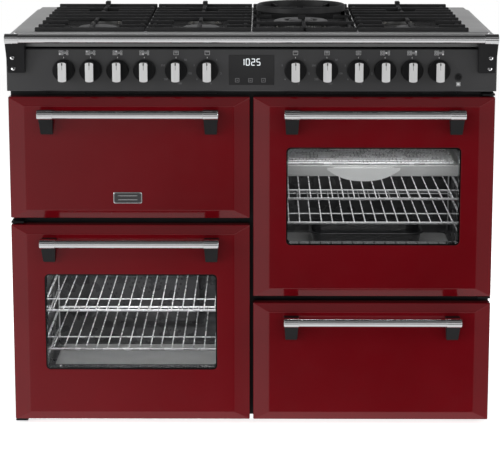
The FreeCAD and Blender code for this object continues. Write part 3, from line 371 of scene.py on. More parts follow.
BLACK_PLASTIC = finish("black_plastic", (0.013, 0.013, 0.014), (0.010, 0.010, 0.011), (0.34, 0.46),
                       grain=(1600, 0.008), sockets={"Specular IOR Level": 0.16})
OVEN_ENAMEL = finish("grey_oven_enamel", (0.052, 0.052, 0.054), (0.040, 0.040, 0.042), (0.22, 0.36),
                     grain=(220, 0.03), tone=(14, 1.0),
                     sockets={"Coat Weight": 0.3, "Coat Roughness": 0.12})
DISH_ENAMEL = finish("dish_enamel", (0.014, 0.014, 0.016), (0.009, 0.009, 0.010), (0.12, 0.22),
                     grain=(250, 0.02), sockets={"Coat Weight": 0.4, "Coat Roughness": 0.08})
WIRE = finish("plated_wire", (0.80, 0.80, 0.81), (0.72, 0.72, 0.73), (0.22, 0.34), metallic=0.45,
              grain=(500, 0.004))
PAN_STEEL = finish("oven_tray_steel", 0.60, 0.53, (0.34, 0.46), metallic=0.25,
                   grain=(500, 0.006), tone=(20, 1.0))
ZINC = finish("zinc_sheet", (0.55, 0.56, 0.57), (0.43, 0.44, 0.455), (0.32, 0.48), metallic=1.0,
              grain=(120, 0.006), tone=(55, 1.0))
GEAR = finish("cast_gear", (0.45, 0.44, 0.41), (0.33, 0.32, 0.30), (0.38, 0.55), metallic=1.0,
              grain=(800, 0.03), tone=(70, 1.0))
ELEMENT = finish("heated_steel", (0.20, 0.19, 0.18), (0.13, 0.12, 0.115), (0.35, 0.5), metallic=1.0,
                 grain=(700, 0.01), tone=(50, 1.0))
BRASS = finish("inlet_brass", (0.60, 0.47, 0.25), (0.50, 0.38, 0.19), (0.25, 0.4), metallic=1.0,
               grain=(700, 0.008))
LAMP_GLASS = finish("lamp_lens", (0.75, 0.74, 0.70), (0.66, 0.65, 0.61), (0.1, 0.2), grain=(500, 0.01),
                    sockets={"Emission Color": (1.0, 0.93, 0.8, 1), "Emission Strength": 0.35})
CERAMIC = finish("spark_ceramic", (0.62, 0.60, 0.56), (0.55, 0.53, 0.49), (0.3, 0.45), grain=(700, 0.01))
# Near black for the door seals, the igniter collar and the knob pointers; the same black is also painted
# shade in screw recesses, the fan cover's holes, the louvre mouths, the gland's mouth and behind the vent
# slots.
RUBBER_AND_PAINTED_SHADE = finish("door_seal_and_painted_shade", (0.020, 0.020, 0.021), (0.014, 0.014, 0.015), (0.55, 0.75), grain=(900, 0.02))
FRIT = finish("glass_border", (0.004, 0.004, 0.0045), (0.003, 0.003, 0.0035), (0.04, 0.07),
              grain=(80, 0.001))
DISPLAY = finish("display_black", (0.020, 0.020, 0.021), (0.017, 0.017, 0.018), (0.16, 0.22),
                 grain=(80, 0.001))
PRINT = finish("light_print", (0.80, 0.80, 0.81), (0.74, 0.74, 0.75), (0.45, 0.6), grain=(900, 0.002))
DIM_PRINT = finish("dim_print", (0.26, 0.26, 0.27), (0.22, 0.22, 0.23), (0.45, 0.6), grain=(900, 0.002))
LIT = finish("lit_digits", (0.80, 0.82, 0.84), (0.72, 0.74, 0.76), (0.4, 0.5), grain=(900, 0.002),
             sockets={"Emission Color": (0.86, 0.92, 0.95, 1), "Emission Strength": 0.7})
GLASS = finish("door_glass", (0.90, 0.91, 0.91), (0.88, 0.89, 0.89), (0.0, 0.01), grain=(30, 0.0005),
               sockets={"Transmission Weight": 1.0, "IOR": 1.15})
FLOOR = finish("studio_floor", 0.90, 0.88, (0.75, 0.85), grain=(4, 0.01),
               tone=(0.6, 1), sockets={"Emission Color": (1, 1, 1, 1), "Emission Strength": 0.8})


# ---------------------------------------------------------------- studio

LENS, LENS_SHIFT = 136.8, -0.1
EYE = (0.024, -4.502, 1.394)
EYE_TURN = (79.14, 0, 0.37)
FLOOR_HALF, FLOOR_MIDDLE_Y = 3.2, 2.57


def area_light(name, place, size, power):
    light = bpy.data.lights.new(name, "AREA")
    light.shape = "RECTANGLE"
    light.size, light.size_y = size
    light.energy = power
    lamp = bpy.data.objects.new(name, light)
    lamp.location = place
    bpy.context.scene.collection.objects.link(lamp)
    return lamp


def studio():
    """A pale sweep, a camera with a long lens, and soft boxes to the left, right and above."""
    data = bpy.data.cameras.new("camera")
    data.lens = LENS
    data.shift_y = LENS_SHIFT
    data.clip_end = 100
    eye = bpy.data.objects.new("camera", data)
    eye.location = EYE
    eye.rotation_euler = [math.radians(angle) for angle in EYE_TURN]
    bpy.context.scene.collection.objects.link(eye)
    bpy.context.scene.camera = eye

    mesh = bpy.data.meshes.new("floor")
    bm = bmesh.new()
    bmesh.ops.create_grid(bm, x_segments=2, y_segments=2, size=FLOOR_HALF)
    bmesh.ops.translate(bm, vec=(0, FLOOR_MIDDLE_Y, 0), verts=bm.verts)
    bm.to_mesh(mesh)
    bm.free()
    mesh.materials.append(FLOOR)
    floor = bpy.data.objects.new("floor", mesh)
    bpy.context.scene.collection.objects.link(floor)
    floor.visible_glossy = False

    boxes = (
        ("left_box", (-3.4, -2.6, 1.9), (0, 0, 0.4), 2.2, 62),
        ("right_box", (3.4, -2.2, 2.0), (0, 0, 0.5), 1.8, 34),
        ("top_box", (0.1, 1.2, 3.0), (0, 0.1, 0.7), 1.8, 70),
    )
    for name, place, target, size, power in boxes:
        lamp = area_light(name, place, (size, size), power)
        lamp.rotation_euler = (Vector(target) - Vector(place)).to_track_quat("-Z", "Y").to_euler()
        lamp.visible_glossy = name != "top_box"
    surround()


def grey_ramp(tree, value, stops):
    """A grey scale along a direction from -1 to 1."""
    scaled = tree.nodes.new("ShaderNodeMapRange")
    scaled.inputs["From Min"].default_value = -1
    tree.links.new(value, scaled.inputs["Value"])
    ramp = tree.nodes.new("ShaderNodeValToRGB")
    ramp.color_ramp.elements.remove(ramp.color_ramp.elements[1])
    for index, (place, grey) in enumerate(stops):
        stop = ramp.color_ramp.elements[0] if index == 0 else ramp.color_ramp.elements.new(1)
        stop.position = (place + 1) / 2
        stop.color = (grey, grey, grey, 1)
    tree.links.new(scaled.outputs["Result"], ramp.inputs["Fac"])
    return ramp.outputs["Color"]


def combined(tree, blend, first, second):
    """Two greys multiplied or added."""
    node = tree.nodes.new("ShaderNodeMix")
    node.data_type = "RGBA"
    node.blend_type = blend
    node.inputs["Factor"].default_value = 1
    tree.links.new(first, node.inputs["A"])
    tree.links.new(second, node.inputs["B"])
    return node.outputs["Result"]


def surround():
    """White paper behind the object; round it a dark room with a pale floor and a soft left side."""
    world = bpy.data.worlds.new("studio")
    world.use_nodes = True
    tree = world.node_tree
    direction = tree.nodes.new("ShaderNodeSeparateXYZ")
    tree.links.new(tree.nodes.new("ShaderNodeTexCoord").outputs["Generated"], direction.inputs["Vector"])
    height = grey_ramp(tree, direction.outputs["Z"], (
        (-1, 0.8), (-0.46, 0.8), (-0.38, 0), (-0.13, 0), (-0.1, 0.8), (0.17, 0.8), (0.22, 0.04),
        (0.5, 0.04), (0.56, 0.34), (0.7, 0.34), (0.8, 0.04),
    ))
    side = grey_ramp(tree, direction.outputs["X"], (
        (-1, 0.6), (-0.5, 0.8), (-0.14, 0.5), (-0.03, 0.12),
        (0.05, 0.02), (0.2, 0.03), (0.5, 0.36), (1, 0.4),
    ))
    band = grey_ramp(tree, direction.outputs["Z"], ((-0.46, 0), (-0.38, 1), (-0.13, 1), (-0.1, 0)))
    total = combined(tree, "ADD", height, combined(tree, "MULTIPLY", side, band))
    room = tree.nodes["Background"]
    tree.links.new(total, room.inputs["Color"])
    paper = tree.nodes.new("ShaderNodeBackground")
    paper.inputs["Color"].default_value = (1, 1, 1, 1)
    mix = tree.nodes.new("ShaderNodeMixShader")
    tree.links.new(tree.nodes.new("ShaderNodeLightPath").outputs["Is Camera Ray"], mix.inputs["Fac"])
    tree.links.new(room.outputs["Background"], mix.inputs[1])
    tree.links.new(paper.outputs["Background"], mix.inputs[2])
    tree.links.new(mix.outputs["Shader"], tree.nodes["World Output"].inputs["Surface"])
    bpy.context.scene.world = world
    bpy.context.scene.view_settings.view_transform = "Standard"


# ---------------------------------------------------------------- doors

def flat_box(node):
    """A node's box as flat corners (x, z) and its levels from back to front."""
    low, high = corners(node)
    return (low.x, low.z), (high.x, high.z), -high.y, -low.y


BEVEL = (36, 20, 9)
WINDOW_SIDE, WINDOW_RISE, WINDOW_HEIGHT = 75, 122, 226
OVEN_DOOR_LEAST = 400


def door_front(name, node):
    """A pressed door: square edge, broad bevel and a flat face, with a window in the oven doors."""
    low, high, back, front = flat_box(node)
    full = (low, high, back, 2)
    side, end, deep = BEVEL
    layers = [
        full,
        *drawn(full, (
            (0, 0, front - deep - 2, 2), (0.3, 0.3, front - deep - 0.6, 2.2),
            (1.6, 1.2, front - deep + 0.5, 2.6), (side - 1.6, end - 1.2, front - 0.5, 2),
            (side, end, front - 0.12, 2), (side + 1.8, end + 1.4, front, 2),
        )),
    ]
    window = None
    if high[1] - low[1] > OVEN_DOOR_LEAST:
        hole_low = (low[0] + WINDOW_SIDE, low[1] + WINDOW_RISE)
        hole_high = (high[0] - WINDOW_SIDE, hole_low[1] + WINDOW_HEIGHT)
        window = (hole_low, hole_high, front, 10)
        layers += [
            *drawn(window, (
                (-0.9, -0.9, front, 10.9), (-0.2, -0.2, front - 0.3, 10.2),
                (0, 0, front - 1.1, 10), (0, 0, back, 10),
            )),
        ]
    form = stacked(layers, steps=4, loop=window is not None)
    piece(name, moved(form, FACING), BODIES[node], RED, (node,), smooth=50)
    return window


def door_glass(name, node, window):
    """An outer pane with a black border and an inner pane, seen through the door's window."""
    body = BODIES[node]
    level = window[2]
    border = (
        *drawn(window, (
            (0.2, 0.2, level - 27, 10), (0.2, 0.2, level - 1.6, 10), (0.5, 0.5, level - 1.1, 9.6),
            (3, 3, level - 1.1, 8), (3, 3, level - 27, 8),
        )),
    )
    piece(name + "_border", standing(border, 4, loop=True), body, FRIT)
    pane = inset(window, 3, 3, level - 1.2, 7)
    layers = (inset(pane, 0, 0, level - 3.6, 7), pane)
    piece(name, standing(layers, 4), body, GLASS, (node,))


def door_back(name, node, window):
    """The shallow pan behind a door, with a soft seal round its edge."""
    low, high, back, front = flat_box(node)
    body = BODIES[node]
    rim = (low, high, front, 6)
    layers = [
        rim,
        *drawn(rim, (
            (0, 0, back + 2.5, 6), (0.8, 0.8, back + 0.7, 6), (2.5, 2.5, back, 6),
        )),
    ]
    if window:
        hole = (window[0], window[1], back, 10)
        layers += [hole, inset(hole, 0, 0, front, 10)]
    form = stacked(layers, 4, loop=window is not None)
    piece(name, moved(form, FACING), body, BLACK_ENAMEL, (node,), smooth=50)
    edge = inset(rim, 26, 26, back + 0.5, 22)
    seal = (
        edge,
        *drawn(edge, (
            (0, 0, back - 1.6, 22), (2, 2, back - 3.2, 20), (5, 5, back - 3.2, 17),
            (7, 7, back - 1.6, 15), (7, 7, back + 0.5, 15),
        )),
    )
    piece(name + "_seal", standing(seal, 6, loop=True), body, RUBBER_AND_PAINTED_SHADE)


def doors():
    for name in ("left_door", "main_door"):
        window = door_front(name + "_front", name + "_panel")
        door_glass(name + "_pane", name + "_glass", window)
        door_back(name + "_back", name + "_liner", window)
    door_front("grill_front", "grill_door_panel")
    door_back("grill_back", "grill_door_liner", None)
    door_front("drawer_face", "drawer_front")


# ---------------------------------------------------------------- handles and rail

def sleeved_bar(low, high, radius, sleeve, length):
    """A round bar along X with a slightly larger sleeve at each end."""
    span = high.x - low.x
    step = 0.5
    half = (
        (0, 0), (sleeve - 2, 0), (sleeve - 0.6, 0.35), (sleeve, 1.2),
        (sleeve, length - step), (sleeve - step, length), (radius, length),
    )
    profile = list(half) + [(r, span - x) for r, x in reversed(half)]
    form = turned(profile, 40)
    return moved(form, Matrix.Translation((low.x, 0, 0)) @ ALONG_X)


def foot_bracket(centre_x, top_z, foot_z, top_front, foot_front, top_width, foot_width):
    """A wedge that carries a bar, narrower and shallower towards its foot. It is drawn in metres,
    because bmesh limits crowded bevels by fixed lengths."""
    bm = bmesh.new()
    face_y = -FACE * MM
    verts = bar(bm, (centre_x - 0.5, face_y - 1, foot_z), (centre_x + 0.5, face_y + 0.3 * MM, top_z))
    for vert in verts:
        upper = vert.co.z > (top_z + foot_z) / 2
        width, front = (top_width, top_front) if upper else (foot_width, foot_front)
        vert.co.x = centre_x + math.copysign(width / 2, vert.co.x - centre_x)
        if vert.co.y < face_y - 0.5:
            vert.co.y = front
    level = [edge for edge in bm.edges if abs((edge.verts[0].co - edge.verts[1].co).z) < 1e-6]
    bmesh.ops.bevel(bm, geom=level, offset=1 * MM, segments=1, profile=0.5, affect="EDGES", material=-1)
    return moved(soften(bm, 3.2 * MM, 4, 40), Matrix.Scale(1 / MM, 4))


def handle(name, node):
    low, high = corners(node)
    body = BODIES[node]
    sleeve = 11
    place = Matrix.Translation((0, low.y + sleeve, high.z - sleeve))
    form = moved(sleeved_bar(low, high, 9.8, sleeve, 35), place)
    piece(name + "_bar", form, body, CHROME, (node,))
    low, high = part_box(node)
    top, front = high.z - sleeve * MM + 5 * MM, low.y + sleeve * MM + 1 * MM
    foot_front = -FACE * MM - 9 * MM
    for index, x in enumerate((low.x + 17.5 * MM, high.x - 17.5 * MM)):
        form = foot_bracket(x, top, low.z, front, foot_front, 34 * MM, 27 * MM)
        piece(f"{name}_bracket_{index}", form, body, BLACK_PLASTIC)


def screw_head(radius, rise, place):
    """A domed screw head facing the front, with two dark bars across its top as painted shade of a cross
    recess.
    """
    profile = ((0, rise), (radius * 0.55, rise * 0.92), (radius * 0.9, rise * 0.5), (radius, 0), (0, 0))
    dome = turned(profile, 20)
    slot = bmesh.new()
    for across, up in ((0.42, 0.1), (0.1, 0.42)):
        bar(slot, (-radius * across, -radius * up, rise * 0.6), (radius * across, radius * up, rise * 1.02))
    return moved(dome, place), moved(slot, place)


def front_rail():
    low, high = corners("front_rail")
    sleeve = 11.5
    place = Matrix.Translation((0, low.y + sleeve, (low.z + high.z) / 2))
    form = moved(sleeved_bar(low, high, 9.5, sleeve, 31), place)
    piece("rail_tube", form, "root", CHROME, ("front_rail",))
    heads = []
    slots = []
    for x in (low.x + 15, high.x - 15):
        for height, front in ((863, 304.5), (837, 289.5)):
            place = Matrix.Translation((x, -front, height)) @ FACING
            place = place @ Matrix.Rotation(math.radians(-30), 4, "X")
            dome, slot = screw_head(5.2, 2.2, place)
            heads.append(dome)
            slots.append(slot)
    low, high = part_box("front_rail")
    top, front = (low.z + high.z) / 2 - 6 * MM, low.y + sleeve * MM + 1 * MM
    foot, foot_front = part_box("rail_brackets")[0].z, -FACE * MM - 11 * MM
    brackets = []
    for side, x in ((1, low.x + 15 * MM), (-1, high.x - 15 * MM)):
        middle = x + side * 6 * MM
        brackets.append(foot_bracket(middle, top, foot, front, foot_front, 43 * MM, 38 * MM))
    pair = gather(*brackets)
    piece("rail_bracket_pair", pair, "root", BLACK_PLASTIC, ("rail_brackets",))
    piece("rail_screws", gather(*heads), "root", CHROME)
    # Dark bars across the rail's screw heads: painted shade of their cross recesses.
    piece("rail_screw_recess_shade", gather(*slots), "root", RUBBER_AND_PAINTED_SHADE)


def handles():
    for node in ("grill_door_handle", "left_door_handle", "main_door_handle", "drawer_handle"):
        handle(node.replace("_handle", "_grip"), node)
    front_rail()


# ---------------------------------------------------------------- knobs

TAP_X = (-421, -360.5, -300, -240, 299, 359.5, 420)
SWITCH_X = (-169, -99, 98.5, 169, 239.5)
SWITCHES = ("left_oven_knob", "grill_knob", "main_grill_knob", "main_heat_knob", "main_mode_knob")
KNOB_Z = 831
KNOB_BACK = FACE + 6
MARK_Z = 870


def knob(name, x):
    """A black skirt with a fine groove, a dark grip and its bright cap with a pointer notch."""
    place = Matrix.Translation((x, -KNOB_BACK, KNOB_Z)) @ FACING
    skirt = turned((
        (0, 0), (23.6, 0), (24.6, 0.8), (25, 2), (24.8, 5.6),
        (24.2, 6.8), (23.2, 7.4), (21.9, 7.5), (21.6, 7.0),
        (21.0, 7.0), (20.7, 7.6), (12, 8), (0, 8),
    ), 56)
    piece(name + "_skirt", moved(skirt, place), name, BLACK_PLASTIC, (name,))

    def grip(width, height, low, high, edge):
        half = (width / 2, height / 2)
        base = ((-half[0], -half[1]), half, low, width / 2 - 0.05)
        top = inset(base, edge, edge, high, width / 2 - edge - 0.05)
        shoulder = inset(base, 0, 0, high - edge, width / 2 - 0.05)
        mid = inset(base, edge * 0.3, edge * 0.3, high - edge * 0.3, width / 2 - edge * 0.3 - 0.05)
        form = stacked((base, shoulder, mid, top), 8)
        start = half[1] - half[0]
        for vert in form.verts:
            beyond = abs(vert.co.y) - start
            if beyond > 0:
                flatter = half[1] - (half[0] - beyond) * 0.36
                vert.co.y = math.copysign(flatter, vert.co.y)
        return form

    core = grip(17.6, 43, 6, 35.2, 0.8)
    piece(name + "_grip", moved(core, place), name, BLACK_PLASTIC)
    cap = grip(18.4, 44, 33.6, 36.9, 1.1)
    piece(name + "_cap", moved(cap, place), name, GRIP_STEEL)
    notch = bmesh.new()
    bar(notch, (-1.5, 15, 36), (1.5, 21.6, 36.98))
    bar(notch, (-0.6, 5, 36), (0.6, 15, 36.96))
    piece(name + "_pointer", moved(soften(notch, 0.3, 1), place), name, RUBBER_AND_PAINTED_SHADE)


def knobs():
    for index, x in enumerate(TAP_X, start=1):
        knob(f"hob_knob_{index}", x)
    for name, x in zip(SWITCHES, SWITCH_X):
        knob(name, x)


# ---------------------------------------------------------------- fascia

def fascia():
    low, high, back = flat_box("fascia_panel")[:3]
    front = FACE
    full = (low, high, back, 1.5)
    layers = [
        full,
        *drawn(full, (
            (0, 0, front - 3, 1.5), (0.4, 0.4, front - 1.2, 1.7), (1.5, 1.5, front - 0.3, 2),
            (3.2, 3.2, front, 3),
        )),
    ]
    piece("fascia_front", standing(layers, 3), "root", ANTHRACITE, ("fascia_panel",))
    low, high, _, front = flat_box("display_glass")
    pane = (low, high, front - 3.6, 1.5)
    layers = [pane, inset(pane, 0, 0, front - 0.5, 1.5), inset(pane, 0.6, 0.6, front, 1.5)]
    piece("clock_glass", standing(layers, 3), "root", DISPLAY, ("display_glass",))


SEGMENTS = {
    "top": ((-1, 2), (1, 2)), "upper_left": ((-1, 0), (-1, 2)), "upper_right": ((1, 0), (1, 2)),
    "middle": ((-1, 0), (1, 0)), "lower_left": ((-1, -2), (-1, 0)), "lower_right": ((1, -2), (1, 0)),
    "bottom": ((-1, -2), (1, -2)),
}
DIGITS = {
    "1": ("upper_right", "lower_right"),
    "0": ("top", "upper_left", "upper_right", "lower_left", "lower_right", "bottom"),
    "2": ("top", "upper_right", "middle", "lower_left", "bottom"),
    "5": ("top", "upper_left", "middle", "lower_right", "bottom"),
}


def flat_bar(bm, low, high, level, thick=0.05):
    bar(bm, (low[0], low[1], level - thick), (high[0], high[1], level + thick))


def outline_box(bm, low, high, line, level):
    """Four thin bars round a rectangle."""
    flat_bar(bm, low, (high[0], low[1] + line), level)
    flat_bar(bm, (low[0], high[1] - line), high, level)
    flat_bar(bm, (low[0], low[1] + line), (low[0] + line, high[1] - line), level)
    flat_bar(bm, (high[0] - line, low[1] + line), (high[0], high[1] - line), level)


def clock():
    """Four lit digits of seven bars with a colon, and three dim touch marks."""
    level = FACE + 1.02
    bm = bmesh.new()
    wide, tall, thick, middle_z = 3.5, 3.5, 0.78, 849.5
    for digit, middle in zip("1025", (-20.2, -8.4, 3.8, 15.6)):
        for segment in DIGITS[digit]:
            start, end = SEGMENTS[segment]
            ends = []
            for across, up in (start, end):
                ends.append((middle + across * wide, middle_z + up * tall))
            low = [min(pair) - thick for pair in zip(*ends)]
            high = [max(pair) + thick for pair in zip(*ends)]
            along = 0 if high[0] - low[0] > high[1] - low[1] else 1
            low[along] += 1.3 * thick
            high[along] -= 1.3 * thick
            flat_bar(bm, low, high, level)
    for up in (-2.2, 2.2):
        flat_bar(bm, (-2.7, middle_z + up - 0.4), (-1.9, middle_z + up + 0.4), level)
    piece("clock_digits", moved(bm, FACING), "root", LIT)
    marks = bmesh.new()
    for x in (-32, -2.3, 27):
        low, high = (x - 4.6, 804), (x + 4.6, 813)
        outline_box(marks, low, high, 0.8, level)
        flat_bar(marks, (x - 2, 808), (x + 2, 809), level)
    piece("touch_marks", moved(marks, FACING), "root", DIM_PRINT)


def hob_mark(bm, x, z, filled, level):
    """The hob's seven burners as small squares, one of them filled."""
    spots = ((-8.4, 2.8), (-8.4, -2.8), (-2.8, 2.8), (-2.8, -2.8), (2.8, 0), (8.4, 2.8), (8.4, -2.8))
    for index, (across, up) in enumerate(spots):
        middle = (x + across, z + up)
        half = 2.1
        low, high = (middle[0] - half, middle[1] - half), (middle[0] + half, middle[1] + half)
        if index == filled:
            flat_bar(bm, low, high, level)
        else:
            outline_box(bm, low, high, 0.75, level)


def oven_mark(bm, x, z, kind, level):
    """A mark for an oven control: an outlined box with bars or a ring of dots."""
    outline_box(bm, (x - 5.5, z - 4.6), (x + 5.5, z + 4.6), 0.6, level)
    for index in range(kind):
        up = z + 2.2 - index * 2.2
        flat_bar(bm, (x - 3.4, up - 0.35), (x + 3.4, up + 0.35), level)


HEATS = ("50", "100", "150", "200", "250")
STEPS = ("1", "2", "3", "4", "5")
DIAL = (HEATS, STEPS, STEPS, HEATS, STEPS)


def fascia_print():
    """Marks above the controls, pointers, and the scales round the oven and grill controls."""
    level = FACE + 0.02
    bm = bmesh.new()
    for index, x in enumerate(TAP_X):
        hob_mark(bm, x, MARK_Z, (1, 0, 2, 3, 4, 5, 6)[index], level)
    for index, x in enumerate(SWITCH_X):
        oven_mark(bm, x, MARK_Z, (2, 1, 1, 2, 3)[index], level)
    for x in TAP_X + SWITCH_X:
        flat_bar(bm, (x - 0.6, 857.6), (x + 0.6, 861), level)
    flat_bar(bm, (461, 797), (467, 803), level)
    outline_box(bm, (459.5, 795.5), (468.5, 804.5), 0.6, level)
    piece("control_marks", moved(bm, FACING), "root", PRINT)
    scales = []
    for labels, x in zip(DIAL, SWITCH_X):
        for index, label in enumerate(labels):
            turn = math.radians(42 + index * 62)
            across, up = x + 31.5 * math.sin(turn), KNOB_Z + 31 * math.cos(turn)
            if up > 792:
                place = FACING @ Matrix.Translation((across, up, level))
                scales.append(lettering(label, 6.2, place))
    piece("control_scales", gather(*scales), "root", DIM_PRINT)


def push_button():
    low, high = corners("ignition_button")
    place = Matrix.Translation(((low.x + high.x) / 2, 0, (low.z + high.z) / 2)) @ FACING
    front = -low.y
    stud = ((0, FACE - 10), (5.5, FACE - 10), (5.5, front - 1), (5.1, front - 0.3),
            (4.2, front - 0.05), (2.5, front - 0.35), (0, front - 0.5))
    node = "ignition_button"
    piece("igniter_stud", moved(turned(stud, 32), place), node, BLACK_PLASTIC, (node,))
    collar = ((5.7, FACE - 1), (8.6, FACE - 1), (8.6, FACE + 0.7), (8, FACE + 1.3),
              (6.2, FACE + 1.3), (5.7, FACE + 0.8))
    form = moved(turned(collar, 36, closed=True), place)
    piece("igniter_collar", form, "root", RUBBER_AND_PAINTED_SHADE)


# ---------------------------------------------------------------- hob

# Each burner's place across and along the hob, and its radius.
BURNERS = (
    (-357, -113, 46), (-357, 157, 35), (-117, -113, 43), (-117, 157, 35),
    (116, 27, 65), (356, -113, 24), (356, 157, 35),
)
WOK_LEAST = 60
GAUGE = 1.2
WELL_X = ((-489, -239), (-239, 0), (0, 239), (239, 489))


def rectangle(x, y, level, radius=0.05):
    return ((x[0], y[0]), (x[1], y[1]), level, radius)


def hob_tray():
    """One pressed tray: an apron, a raised deck and four wells."""
    low, high = corners("hob_tray")
    top, foot = high.z, low.z
    step = 909
    apron = ((low.x, low.y), (high.x, high.y), foot, 4)
    deck = rectangle((-535, 535), (-259, 304), top, 6)
    inner = rectangle((-489, 489), (-249, 299), top)
    layers = [
        apron,
        *drawn(apron, (
            (0, 0, step - 3, 4), (0.8, 0.8, step - 0.8, 4), (2.6, 2.2, step, 4),
        )),
        *drawn(deck, (
            (0, 0, step, 6), (0.6, 0.6, top - 1.4, 6), (2.6, 2.4, top, 6),
        )),
        inner,
        inset(inner, 0, 0, top - GAUGE, 0.05),
        inset(deck, 4, 3, top - GAUGE - 1, 6),
        inset(apron, GAUGE, GAUGE, step - GAUGE, 4),
        inset(apron, GAUGE, GAUGE, foot, 4),
    ]
    form = stacked(layers, 5, loop=True)
    pressing = piece("hob_deck", form, "root", TRAY_STEEL, ("hob_tray",), 50)
    # The apron's front faces below the deck take the darker copy of the steel: painted shade.
    pressing.data.materials.append(APRON_PAINTED_SHADE)
    for face in pressing.data.polygons:
        if face.normal.y < -0.7 and face.center.z < (step - 2) * MM:
            face.material_index = 1
    forms = []
    floor = top - 27
    for x in WELL_X:
        cell = rectangle(x, (-249, 299), top)
        well = rectangle((x[0] + 3.4, x[1] - 3.4), (-245.6, 295.6), floor, 16)
        forms.append(stacked([
            *drawn(well, (
                (7, 7, floor, 10), (3, 3, floor + 1.5, 13), (1, 1, floor + 6, 15),
                (0, 0, top - 2.5, 16), (-0.9, -0.9, top - 0.7, 16), (-2.2, -2.2, top, 16),
            )),
            cell,
            inset(cell, 0, 0, top - GAUGE, 0.05),
            inset(well, -GAUGE, -GAUGE, top - GAUGE - 2, 16),
            inset(well, 6, 6, floor - GAUGE, 10),
        ], 5))
    piece("hob_wells", gather(*forms), "root", DARK_WELLS, smooth=50)


def crown(radius, teeth):
    """A burner's body: a flanged base and a ring of teeth between its flame ports."""
    base = turned((
        (0, 0), (radius + 7, 0), (radius + 7, 2.4), (radius + 6, 3.4),
        (radius + 2, 4.2), (radius - 1, 7.5), (radius - 2.2, 9.5),
        (radius - 5.5, 9.8), (radius - 5.8, 17.8), (0, 17.8),
    ), 64)
    tooth = bmesh.new()
    half = math.pi * (radius - 3) / teeth * 0.62
    verts = bar(tooth, (radius - 6.5, -half, 9), (radius - 2.4, half, 17.6))
    bmesh.ops.spin(
        tooth, geom=verts + tooth.edges[:] + tooth.faces[:], cent=(0, 0, 0), axis=(0, 0, 1),
        angle=math.tau, steps=teeth, use_duplicate=True,
    )
    bmesh.ops.remove_doubles(tooth, verts=tooth.verts, dist=MERGE / 10)
    return gather(base, tooth)


def cap(radius, inner=0.0):
    """A burner's enamelled cap, gently domed, with an opening in the wok burner's."""
    outer = (
        (radius - 1.5, 17.7), (radius - 0.3, 18.3), (radius, 19.6),
        (radius - 0.4, 21.6), (radius - 2, 23.4), (radius - 6, 25),
    )
    if inner:
        profile = ((inner, 17.7),) + outer + ((inner + 4, 25.2), (inner + 1, 24.2), (inner, 22))
        return turned(profile, 64, closed=True)
    return turned(((0, 17.7),) + outer + ((radius * 0.5, 26.4), (0, 26.9)), 64)


INSULATOR = ((0, 2), (3, 2), (3, 8), (2.2, 9), (2.2, 13), (0, 13.4))


def burners():
    floor = corners("burner_bodies")[0].z
    crowns, caps, pins, insulators = [], [], [], []
    for x, y, radius in BURNERS:
        place = Matrix.Translation((x, y, floor))
        wok = radius > WOK_LEAST
        crowns.append(moved(crown(radius, 60 if wok else 40), place))
        caps.append(moved(cap(radius, 39 if wok else 0), place))
        if wok:
            crowns.append(moved(crown(32, 28), place))
            caps.append(moved(cap(30), place @ Matrix.Translation((0, 0, 1.8))))
        for angle in (math.radians(215), math.radians(325)):
            reach = radius + 3.4
            spot = place @ Vector((reach * math.cos(angle), reach * math.sin(angle), 0))
            insulator = turned(INSULATOR, 16)
            insulators.append(moved(insulator, Matrix.Translation(spot)))
            pin = bmesh.new()
            rod(pin, spot + Vector((0, 0, 13)), spot + Vector((0, 0, 20)), 0.9, 8)
            pins.append(pin)
    piece("burner_crowns", gather(*crowns), "root", ALLOY, ("burner_bodies",))
    piece("burner_lids", gather(*caps), "root", CAP_PAINTED_REFLECTION, ("burner_caps",))
    piece("spark_insulators", gather(*insulators), "root", CERAMIC)
    piece("spark_pins", gather(*pins), "root", WIRE)


BAR = 8.5
FRONT_Y, BACK_Y = -249, 299


def support(low, high, centres, clear):
    """One cast pan support: rim, cross bars, fingers towards each burner, feet and a rear horn."""
    bm = bmesh.new()
    base, top = 914.5, 924
    middle = (low + high) / 2

    def add(x, y, z=(base, top)):
        bar(bm, *zip(x, y, z))

    add((low, high), (FRONT_Y, FRONT_Y + BAR))
    add((low, high), (BACK_Y - BAR, BACK_Y))
    add((low + 9, low + 9 + BAR), (FRONT_Y + 1, BACK_Y - 1), (base - 6, top - 5))
    add((high - 9 - BAR, high - 9), (FRONT_Y + 1, BACK_Y - 1), (base - 6, top - 5))
    if len(centres) == 2:
        crossings = [-28, 40, 105, 212]
        broken = ((-180, 62), (-97, 62), (157, 36))
    else:
        crossings = [centres[0] - 148, centres[0] + 122, centres[0] + 190]
        broken = ((centres[0], clear),)
        add((middle - BAR / 2, middle + BAR / 2), (FRONT_Y, crossings[0]))
    for y in crossings:
        add((low + 1, high - 1), (y - BAR / 2, y + BAR / 2), (base, top + 0.2))
    for y, reach in broken:
        add((low + 1, middle - reach), (y - BAR / 2, y + BAR / 2), (base, top + 0.1))
        add((middle + reach, high - 1), (y - BAR / 2, y + BAR / 2), (base, top + 0.1))
    stops = [FRONT_Y + BAR / 2] + crossings + [BACK_Y - BAR / 2]
    for centre in centres:
        before = max(stop for stop in stops if stop < centre)
        after = min(stop for stop in stops if stop > centre)
        for span in ((before, centre - clear), (centre + clear, after)):
            if span[1] > span[0]:
                add((middle - BAR / 2, middle + BAR / 2), span, (base, top + 0.1))
    for x in (low + 8.8, high - 17.8):
        for y in (FRONT_Y + 5, BACK_Y - 15):
            add((x, x + 9), (y, y + 9), (888.2, base + 1))
    if len(centres) == 2:
        add((middle - BAR / 2, middle + BAR / 2), (crossings[-1], BACK_Y - 1), (base, top + 0.1))
        add((middle - 6, middle + 6), (BACK_Y - 26, BACK_Y - 3), (base + 4, top + 8))
    return soften(bm, 1.9, 2)


